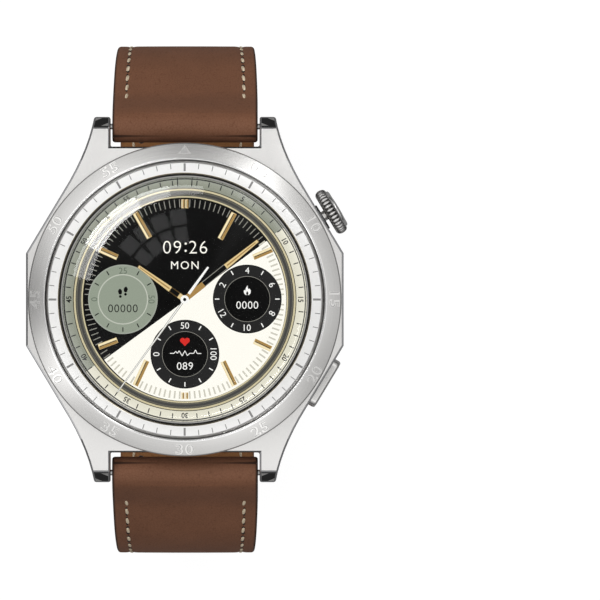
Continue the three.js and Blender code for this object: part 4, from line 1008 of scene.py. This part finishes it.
for k in range(4):
    eyes.disc((4.3 * math.cos(k * math.pi / 2), 4.3 * math.sin(k * math.pi / 2)), 1.05, steps=40)
eyes.disc((0, 0), 1.5, steps=48)
lens = speckled("sensor_lens", (0.03, 0.05, 0.035, 1), (0.05, 0.08, 0.055, 1), 600, 0.08)
ring_mark = brushed("sensor_ring_grey", (0.25, 0.25, 0.26, 1), 0.4, (3000, 3000, 3000))
dress(dark_ring.build("sensor_ring_mark", -0.002, 0.01), "case", mats=[ring_mark])
dress(eyes.build("sensor_eyes", -0.002, 0.01), "case", mats=[lens])

# ---- Strap route ----
# Both halves leave the spring bar downward, turn over a round shoulder and close on a flat bottom stretch.
# A place s along a half gives its middle (y, z), its outward normal and its width.
bar_y, bar_z = 25.5, 5.2
drop = math.radians(52)
shoulder_r = 17
corner_high = 19
flat_y = 17.5
curl_z = -14.722


def route(bottom, end):
    """The middle line of one half, as dense (y, z) points and their distances: a line, an arc, a line,
    an elliptic arc and the flat stretch, which ends at a place on +Y or, below 0, in the tail's curl."""
    start = np.array([bar_y + 12 * math.cos(drop), bar_z - 12 * math.sin(drop)])
    centre = start - shoulder_r * np.array([math.sin(drop), math.cos(drop)])
    a = np.linspace(math.pi / 2 - drop, 0, 160)
    shoulder = centre + shoulder_r * np.stack([np.cos(a), np.sin(a)], 1)
    a = np.linspace(0, -math.pi / 2, 240)
    corner = np.stack([flat_y + (centre[0] + shoulder_r - flat_y) * np.cos(a),
                       bottom + corner_high + corner_high * np.sin(a)], 1)
    points = [np.linspace((bar_y, bar_z), start, 120)[:-1], shoulder]
    if corner[0, 1] < shoulder[-1, 1] - 0.01:
        points += [np.linspace(shoulder[-1], corner[0], 20)[1:-1], corner]
    else:
        points.append(corner[1:])
    if end >= 0:
        points.append(np.linspace((flat_y, bottom), (end, bottom), 160)[1:])
    else:  # the tail half runs on past its far corner and curls up along the other half
        radius = curl_z - bottom
        a = np.linspace(0, 20 / radius, 120)[1:]
        points.append(np.linspace((flat_y, bottom), (-flat_y, bottom), 240)[1:])
        points.append(np.stack([-flat_y - radius * np.sin(a), curl_z - radius * np.cos(a)], 1))
    line = np.vstack(points)
    steps = np.linalg.norm(np.diff(line, axis=0), axis=1)
    return line, np.concatenate([[0], np.cumsum(steps)])


def at(path, s):
    """Middle points and outward normals at distances s, for the half that goes to +Y."""
    line, along = path
    place = np.stack([np.interp(s, along, line[:, k]) for k in (0, 1)], 1)
    ahead, behind = (np.stack([np.interp(np.clip(s + near, 0, along[-1]), along, line[:, k]) for k in (0, 1)], 1)
                     for near in (0.15, -0.15))
    t = (ahead - behind) / np.linalg.norm(ahead - behind, axis=1)[:, None]
    return place, np.stack([-t[:, 1], t[:, 0]], 1)


def step(t):
    """3 t^2 - 2 t^3, held to 0 and 1 outside its range."""
    t = np.clip(t, 0, 1)
    return t * t * (3 - 2 * t)


def strap_width(z):
    """Half of the strap's width at a height: 10.7 at the lugs, drawing in to 10."""
    return 10.7 - 0.7 * step((3 - z) / 23)


def ply(name, path, side, s, upper, lower, tip=None, rise=0.05, round_off=0.45, channel=None, roll=None):
    """One ply: at each s a flat oval of half-width w(s), between offsets lower(s) and upper(s) along the normal.
    Its sides close on quarter curves. A tip narrows by (1 - t^2.3)^0.5, and a channel is a dip of
    0.13 exp(-(d / 0.42)^2) at a distance d from its line."""
    place, normal = at(path, s)
    half = strap_width(place[:, 1])
    if tip is not None:
        half = half * np.sqrt(np.clip(1 - np.clip((s - (s[-1] - tip)) / tip, 0, 1) ** 2.3, 0, 1)) + 0.03
    up, down = upper(s), lower(s)
    inner = np.linspace(-1, 1, 57)
    fall = np.linspace(0, math.pi / 2, 6)[1:]

    def section(centre, out, w, r, top, low):
        """One closed section: a top of 57 heights and a flat underside, with side curves of radius r."""
        x_top = inner * (w - r)
        edge_x = w - r + r * np.sin(fall)
        edge_top = top[-1] - r * (1 - np.cos(fall))
        edge_low = low + r * (1 - np.cos(fall[::-1]))
        x = np.concatenate([x_top, edge_x, edge_x[::-1], x_top[::-1], -edge_x, -edge_x[::-1]])
        h = np.concatenate([top, edge_top, edge_low, np.full(57, low), edge_low[::-1], edge_top[::-1]])
        return np.stack([x, centre[0] + out[0] * h, centre[1] + out[1] * h], 1)

    rings = []
    for k in range(len(s)):
        w, thick = half[k], up[k] - down[k]
        r = min(round_off, thick * 0.48, w * 0.4)
        x_top = inner * (w - r)
        top = up[k] + rise * (1 - (x_top / w) ** 2)
        if channel is not None and w > 6 and s[k] > 4.6:
            top = top - 0.13 * np.exp(-((np.abs(x_top) - (w - channel)) / 0.42) ** 2)
        rings.append(section(place[k], normal[k], w, r, top, down[k]))
    if roll:  # the ply turns round the bar behind s = 0
        t0 = np.array([normal[0, 1], -normal[0, 0]])
        extra = []
        for degrees in np.linspace(88, 6, 16):
            a = math.radians(degrees)
            reach = roll * math.sin(a)
            r = min(round_off, reach * 0.8 + 0.02)
            centre = place[0] - t0 * roll * math.cos(a)
            extra.append(section(centre, normal[0], half[0], r, np.full(57, reach), -reach))
        rings = extra[::-1] + rings
    rings = np.array(rings) * (1, side, 1) * MM
    return loft(name, rings, closed=False)


roll_r = 2.35
seam = -0.05


def leather_top(s):
    """Outer face of the leather: the roll's radius at the bar, running out to the plain thickness."""
    return roll_r + (1.15 - roll_r) * step(s / 7.0)


def leather_under(s):
    """Inner face of the leather: the roll's far side at the bar, then just above the lining."""
    return -roll_r + (roll_r + seam) * step(s / 3.8)


path12, path6 = route(-33.722, 0.0), route(-36.072, -1.0)

# ---- Leather and lining ----
# Brown grained leather outside and orange-tan lining inside, stitched 2 mm from the edges in a shallow channel.
# The tail half has seven oval holes and a rounded tip.
grain, g_in, g_out = group(
    "leather_grain", [("Vector", "NodeSocketVector", None), ("Size", "NodeSocketFloat", 1300.0)],
    [("Height", "NodeSocketFloat"), ("Tone", "NodeSocketFloat"), ("Broad", "NodeSocketFloat")],
)
warp = noise(grain, g_in.outputs["Vector"], 900.0, output="Color")
shift = put(grain, "VectorMath", {0: warp, "Scale": 0.0006}, operation="SCALE")
bent = put(grain, "VectorMath", {0: g_in.outputs["Vector"], 1: shift.outputs[0]}, operation="ADD")
creases = put(grain, "TexVoronoi", {"Vector": bent.outputs[0], "Scale": g_in.outputs["Size"]},
              feature="DISTANCE_TO_EDGE")
walls = span(grain, creases.outputs["Distance"], high=0.12)
pores = noise(grain, g_in.outputs["Vector"], 5000.0)
relief = maths(grain, "MULTIPLY_ADD", pores, 0.5, walls)
cloud = noise(grain, g_in.outputs["Vector"], 130.0, 4.0, 0.6)
grain.links.new(relief, g_out.inputs["Height"])
grain.links.new(walls, g_out.inputs["Tone"])
grain.links.new(cloud, g_out.inputs["Broad"])


def hide(name, colour, dark, edge_colour, size, roughness, depth):
    """Leather: creases darker than the pebbles, broad mottling, and painted edges where edge is 1."""
    made, tree, shader = material(name, colour, roughness, Specular_IOR_Level=0.16)
    skin = use(tree, grain, Vector=here(tree), Size=size)
    deep = ramp(tree, skin.outputs["Tone"], [(0.0, dark), (0.6, colour)])
    broad = ramp(tree, skin.outputs["Broad"], [(0.3, 0.9), (0.7, 1.05)])
    toned = blended(tree, 1.0, deep, broad, "MULTIPLY")
    rim = put(tree, "Attribute", attribute_name="edge")
    mixed = blended(tree, rim.outputs["Fac"], toned, edge_colour)
    tree.links.new(mixed, shader.inputs["Base Color"])
    relief_on(tree, shader, depth, 0.00008, skin.outputs["Height"])
    return made


leather = hide("strap_leather", (0.212, 0.095, 0.053, 1), (0.158, 0.067, 0.036, 1), (0.04, 0.02, 0.013, 1),
               2300.0, 0.58, 0.16)
tan = hide("strap_lining", (0.36, 0.165, 0.065, 1), (0.27, 0.115, 0.042, 1), (0.20, 0.09, 0.04, 1), 2400.0,
           0.6, 0.18)


def mark_edges(obj):
    """The edge attribute: 0 on the faces and 1 at the sides, from |x| against the width at that height."""
    co = read_points(obj.data) / MM
    return mark(obj, "edge", step((np.abs(co[:, 0]) - (strap_width(co[:, 2]) - 0.42)) / (0.42 * 0.7)))


def punched(obj, cutters):
    """The piece with closed cutters taken away, as a plain mesh again."""
    points, faces = [], []
    for cutter in cutters:
        faces += [tuple(len(points) + i for i in p.vertices) for p in cutter.data.polygons]
        points += read_points(cutter.data).tolist()
        bpy.data.objects.remove(cutter)
    tool = solid("punch", points, faces, False)
    cutting_step = obj.modifiers.new("punch", "BOOLEAN")
    cutting_step.object = tool
    cutting_step.solver = "EXACT"
    bpy.context.view_layer.update()
    made = bpy.data.meshes.new_from_object(obj.evaluated_get(bpy.context.evaluated_depsgraph_get()))
    obj.modifiers.clear()
    obj.data = made
    bpy.data.objects.remove(tool)
    return obj


def thickness(value):
    """An offset that is the same at every s."""
    return lambda s: np.full(len(s), value)


length12, length6 = path12[1][-1], path6[1][-1]
lining_face = -0.85
hole_step = 6.2
s12 = np.concatenate([np.linspace(0, 12, 60)[:-1], np.linspace(12, length12, 170)])
s6 = np.concatenate([np.linspace(0, 12, 60)[:-1], np.linspace(12, length6 - 11, 240)[:-1],
                     length6 - 11 * (1 - np.linspace(0, 1, 60)) ** 1.6])
outer12 = mark_edges(ply("leather_12", path12, 1, s12, leather_top, leather_under, channel=2.0, roll=roll_r))
inner12 = mark_edges(ply("lining_12", path12, 1, np.linspace(4.4, length12 - 2.2, 200), thickness(seam),
                         thickness(lining_face), rise=0.0, round_off=0.3))
hole_s = length6 - 20 - (flat_y - 4.536)


def hole(s, name):
    """One oval cutter through the tail, square to it: a bar outline 3.4 long and 2.1 wide."""
    place, normal = at(path6, np.array([s]))
    n, t = np.array([0, *normal[0]]), np.array([0, normal[0][1], -normal[0][0]])
    outline = pill(3.4, 2.1, 14)
    across = outline[:, :1] * np.array([1, 0, 0]) + outline[:, 1:] * t
    rings = [np.array([0, *place[0]]) + across + h * n for h in (-3, 3)]
    return loft(name, np.array(rings) * (1, -1, 1) * MM, closed=False)


outer6 = ply("leather_6", path6, -1, s6, leather_top, leather_under, tip=11, channel=2.0, roll=roll_r)
inner6 = ply("lining_6", path6, -1, s6[s6 > 4.4], thickness(seam), thickness(lining_face), tip=11, rise=0.0,
             round_off=0.3)
for obj in (outer6, inner6):
    mark_edges(punched(obj, [hole(hole_s + hole_step * k, f"hole_{k}") for k in range(-3, 4)]))
dress(outer12, "strap_12", ["strap_12_leather"], [leather])
dress(inner12, "strap_12", ["strap_12_lining"], [tan])
dress(outer6, "strap_6", ["strap_6_leather"], [leather])
dress(inner6, "strap_6", ["strap_6_lining"], [tan])
pin_y, pin_z = 0.0, -32.972
roll_shape = [(-10, 0.5), (-10, 0.86), (-9.93, 0.96), (-9.75, 1.0), (-1.15, 1.0), (-1.0, 0.97), (-0.95, 0.9),
              (-0.95, 0.5)]
roll_turn = np.linspace(0, 2 * math.pi, 56, endpoint=False)
roll_around = loft("buckle_roll", np.array([
    [(x, 1.92 * math.cos(a) * k, pin_z + 1.92 * math.sin(a) * k) for a in roll_turn] for x, k in roll_shape
]) * MM)
other_roll = roll_around.copy()
other_roll.data = roll_around.data.copy()
other_roll.data.transform(Matrix.Scale(-1, 4, (1, 0, 0)))
other_roll.data.flip_normals()
other_roll.name = "buckle_roll_right"
bpy.context.collection.objects.link(other_roll)
for obj in (roll_around, other_roll):
    mark_edges(obj)
    dress(obj, "strap_12", mats=[leather])

# ---- Stitches ----
# Cream thread: each stitch is a slanted spindle half sunk in the channel, its ends bent into the hide.
# The same rows show on the lining, and the dark pad round each outer stitch is painted shade of its needle dimple.
thread, thread_tree, thread_shader = material("thread", (0.72, 0.6, 0.43, 1), 0.7)
twist = put(thread_tree, "TexWave", {"Vector": here(thread_tree), "Scale": 1400.0, "Distortion": 1.0},
            bands_direction="DIAGONAL")
tones = ramp(thread_tree, twist.outputs["Fac"], [(0.0, (0.5, 0.39, 0.26, 1)), (0.6, (0.80, 0.68, 0.5, 1))])
thread_tree.links.new(tones, thread_shader.inputs["Base Color"])
relief_on(thread_tree, thread_shader, 0.4, 0.00006, twist.outputs["Fac"])
# Painted shade: the near-black pads round the stitches stand in for the dimples' shade.
dimple_painted_shade = speckled("stitch_pit", (0.02, 0.011, 0.008, 1), (0.03, 0.016, 0.011, 1), 2500, 0.8)


seam_in = 2.0
stitch_long = 1.72
pitch = 2.3


def stitches(name, path, side, places, offset, outward, half_wide, body):
    """A row of stitches down each edge. A stitch is the spindle r(u) = w (1 - u^2)^0.55 about a line that
    dips by 0.24 u^4 at its ends."""
    u = np.linspace(-0.98, 0.98, 11)[:, None]
    v = np.linspace(0, 2 * math.pi, 10, endpoint=False)[None]
    swell = (1 - u ** 2) ** 0.55
    base = np.stack([half_wide * swell * np.cos(v), stitch_long / 2 * u + 0 * v,
                     0.17 * swell * np.sin(v) - 0.24 * u ** 4 + 0.02], 2)
    c, sn = math.cos(0.14), math.sin(0.14)
    points, faces = [], []
    mids, normals = at(path, places)
    for row in (-1, 1):
        for mid, normal in zip(mids, normals):
            x0 = row * (strap_width(mid[1]) - seam_in)
            local = np.stack([base[..., 0] * c - base[..., 1] * sn * row,
                              base[..., 0] * sn * row + base[..., 1] * c, base[..., 2]], 2)
            t = np.array([normal[1], -normal[0]])
            h = offset + local[..., 2] * (1 if outward else -1)
            ring = np.stack([x0 + local[..., 0], mid[0] + t[0] * local[..., 1] + normal[0] * h,
                             mid[1] + t[1] * local[..., 1] + normal[1] * h], 2)
            start = len(points)
            m, n = ring.shape[:2]
            points += ring.reshape(-1, 3).tolist() + [ring[0].mean(0).tolist(), ring[-1].mean(0).tolist()]
            faces += [tuple(start + corner for corner in face) for face in skin(m, n, False)]
    points = np.array(points) * (1, side, 1) * MM
    return dress(solid(name, points, faces), body, mats=[thread])


def dimple_shade_pads(name, path, side, places, offset, body):
    """Painted shade of the needle dimple round each stitch: a thin dark spindle-shaped pad just above the
    channel's floor.
    """
    u = np.linspace(-1, 1, 9)
    wide = 0.36 * np.sqrt(np.clip(1 - u ** 2, 0, 1)) + 0.02
    rim = np.vstack([np.column_stack([wide, u * 1.08]), np.column_stack([-wide[::-1], u[::-1] * 1.08])])
    points, faces = [], []
    mids, normals = at(path, places)
    for row in (-1, 1):
        for mid, normal in zip(mids, normals):
            x0, t = row * (strap_width(mid[1]) - seam_in), np.array([normal[1], -normal[0]])
            for h in (offset - 0.06, offset):
                start = len(points)
                points += [(x0 + x, mid[0] + t[0] * y + normal[0] * h, mid[1] + t[1] * y + normal[1] * h)
                           for x, y in rim]
            n = len(rim)
            faces += [tuple(range(start, start + n)), tuple(range(start - 1, start - n - 1, -1))]
            faces += [(start - n + j, start - n + (j + 1) % n, start + (j + 1) % n, start + j)
                      for j in range(n)]
    return dress(solid(name, np.array(points) * (1, side, 1) * MM, faces, False), body,
                 mats=[dimple_painted_shade])


def top_at(s):
    """The channel floor's height over the middle line at a distance s."""
    return float(leather_top(np.array([s]))[0]) + 0.05 * (1 - 0.64) - 0.13


first = (28.97 - bar_y) / math.cos(drop) + 0.2
rows12 = np.arange(first, length12 - 3.0, pitch)
rows6 = np.arange(first, length6 - 10.5, pitch)
for end, path, side, rows in (("12", path12, 1, rows12), ("6", path6, -1, rows6)):
    bodied = f"strap_{end}"
    stitches(f"stitches_{end}_near", path, side, rows[:1], top_at(rows[0]), True, 0.24, bodied)
    stitches(f"stitches_{end}", path, side, rows[1:], top_at(9.0), True, 0.24, bodied)
    dimple_shade_pads(f"stitch_pits_{end}", path, side, rows[1:], top_at(9.0) + 0.025, bodied)
    stitches(f"stitches_{end}_inside", path, side, rows[rows > 5.5], lining_face, False, 0.2, bodied)

# ---- Buckle ----
# A polished pin buckle: a bent frame on a cross pin, and a prong that turns on the pin and rests on the frame.
# Each is a section swept along its own line.



def swept(name, path, sections, up):
    """Sections[i, j] = (a, b) in mm laid at path[i]: point + a * side + b * lift, where
    side = direction x up and lift = side x direction."""
    path, sections = np.asarray(path, float), np.asarray(sections, float)
    t = np.gradient(path, axis=0)
    t /= np.linalg.norm(t, axis=1)[:, None]
    side_way = np.cross(t, np.broadcast_to(up, path.shape))
    side_way /= np.linalg.norm(side_way, axis=1)[:, None]
    lift = np.cross(side_way, t)
    rings = path[:, None] + sections[..., :1] * side_way[:, None] + sections[..., 1:] * lift[:, None]
    return loft(name, rings * MM, closed=False)


def oblong(wide, high, steps=24, power=4.0):
    """A superellipse outline: |a / wide|^n + |b / high|^n = 1."""
    v = np.linspace(0, 2 * math.pi, steps, endpoint=False)
    c, s = np.cos(v), np.sin(v)
    return np.stack([wide * np.sign(c) * np.abs(c) ** (2 / power),
                     high * np.sign(s) * np.abs(s) ** (2 / power)], 1)


def softened(points, cut=1.2):
    """A polyline with each inner corner replaced by a curve of (1-t)^2 a + 2t(1-t) corner + t^2 b."""
    points = [np.array(p, float) for p in points]
    out = [points[0]]
    for a, corner, b in zip(points, points[1:], points[2:]):
        one, two = (a - corner) / np.linalg.norm(a - corner), (b - corner) / np.linalg.norm(b - corner)
        reach = min(cut, 0.45 * np.linalg.norm(a - corner), 0.45 * np.linalg.norm(b - corner))
        a, b = corner + one * reach, corner + two * reach
        out += [(1 - t) ** 2 * a + 2 * t * (1 - t) * corner + t * t * b for t in np.linspace(0, 1, 7)]
    return np.array(out + [points[-1]])


buckle_steel = brushed("buckle_polished", (0.80, 0.79, 0.775, 1), 0.16, (900, 9000, 9000), depth=0.05,
                       tone=0.08)
arm = [(11.2, 1.2, -32.6), (11.2, 0.2, -32.95), (11.2, -3.0, -34.6), (11.2, -8.8, -37.75),
       (10.2, -10.0, -38.4), (3.0, -10.0, -38.42), (0, -10.0, -38.42)]
half_path = softened(arm)
frame_path = np.vstack([half_path, (half_path * (-1, 1, 1))[::-1][1:]])
sections = []
for place in frame_path:
    near_pin = np.clip(1 - abs(place[1] - 0.1) / 2.2, 0, 1)
    dip = 0.42 * np.exp(-(place[0] / 0.95) ** 4) * (place[1] < -9)
    sections.append(oblong(0.8 + 0.06 * (place[1] < -9),
                           (0.86 - dip * 0.5) * (1 + 0.55 * step(near_pin * 1.4)), 28, 3.2))
buckle = swept("buckle_bent", frame_path, sections, (0.02, 0.45, 1.0))
dress(buckle, "buckle", ["buckle_frame"], [buckle_steel])
pin_x = np.array([-11.28, -11.2, -11.0, 11.0, 11.2, 11.28])
pin = swept("buckle_pin", np.stack([pin_x, pin_y + 0 * pin_x, pin_z + 0 * pin_x], 1),
            [oblong(k, k, 40, 2.0) for k in (0.6, 0.72, 0.8, 0.8, 0.72, 0.6)], (0, 0, 1))
dress(pin, "strap_12", ["buckle_bar"], [buckle_steel])
tongue_path = softened([(0, -1.25, -33.15), (0, -3.4, -34.5), (0, -6.0, -38.55), (0, -8.0, -39.07),
                        (0, -11.9, -39.07)], 1.6)
tongue_wide = 0.7 - 0.18 * step((-tongue_path[:, 1] - 9.5) / 2.4)
tongue_high = np.full(len(tongue_path), 0.35)
tongue_high[[0, -1]] = 0.35 * 0.6
tongue_shape = [oblong(w, h, 24, 3.0) for w, h in zip(tongue_wide, tongue_high)]
tongue = swept("prong_tongue", tongue_path, tongue_shape, (0, 0.3, 1))
dress(tongue, "prong", ["prong"], [buckle_steel])
eye = spun(rounded([(0.93, -0.7), (1.6, -0.7), (1.6, 0.7), (0.93, 0.7)], [0.1, 0.2, 0.2, 0.1]), 72)
eye = loft("prong_eye", np.array(eye[..., [2, 0, 1]]) * MM + np.array([0, pin_y, pin_z]) * MM)
dress(eye, "prong", mats=[buckle_steel])

# ---- Keepers ----
# Two leather loops round both halves on the flat stretch, with burnished edges: one fixed, one that slides.
# Each is the gap between two rounded boxes, matched corner by corner, with its width's edges turned round.


def keeper(name, node, body):
    """A loop: at each place round the boxes' outlines, a rounded oblong from the inner to the outer one."""
    low_c, high_c = box_mm(node)
    wide, thick = high_c.x, 1.2
    outer = rounded([(-wide, low_c.z), (wide, low_c.z), (wide, high_c.z), (-wide, high_c.z)], [1.5] * 4, 8)
    inner = rounded([(-wide + thick, low_c.z + 1.55), (wide - thick, low_c.z + 1.55),
                     (wide - thick, high_c.z - 0.98), (-wide + thick, high_c.z - 0.98)],
                    [0.25] * 4, 8)
    fine_outer = np.vstack([np.linspace(outer[i], outer[(i + 1) % len(outer)], 4)[:-1]
                            for i in range(len(outer))])
    fine_inner = np.vstack([np.linspace(inner[i], inner[(i + 1) % len(inner)], 4)[:-1]
                            for i in range(len(inner))])
    middle, reach = (low_c.y + high_c.y) / 2, (high_c.y - low_c.y) / 2
    rim = oblong(0.5, reach, 32, 5.0)
    rings = []
    for o, i in zip(fine_outer, fine_inner):
        mid = (o + i) / 2 + np.outer(rim[:, 0], o - i)
        rings.append(np.stack([mid[:, 0], middle + rim[:, 1], mid[:, 1]], 1))
    obj = loft(name, np.array(rings) * MM)
    mark(obj, "edge", step((np.abs(read_points(obj.data)[:, 1] / MM - middle) - (reach - 0.3)) / 0.25))
    return dress(obj, body, [node], [leather])


keeper("keeper_fixed", "fixed_keeper", "strap_12")
keeper("keeper_free", "free_keeper", "free_keeper")

# ---- Close ----
# Bring the scene up to date.
bpy.context.view_layer.update()
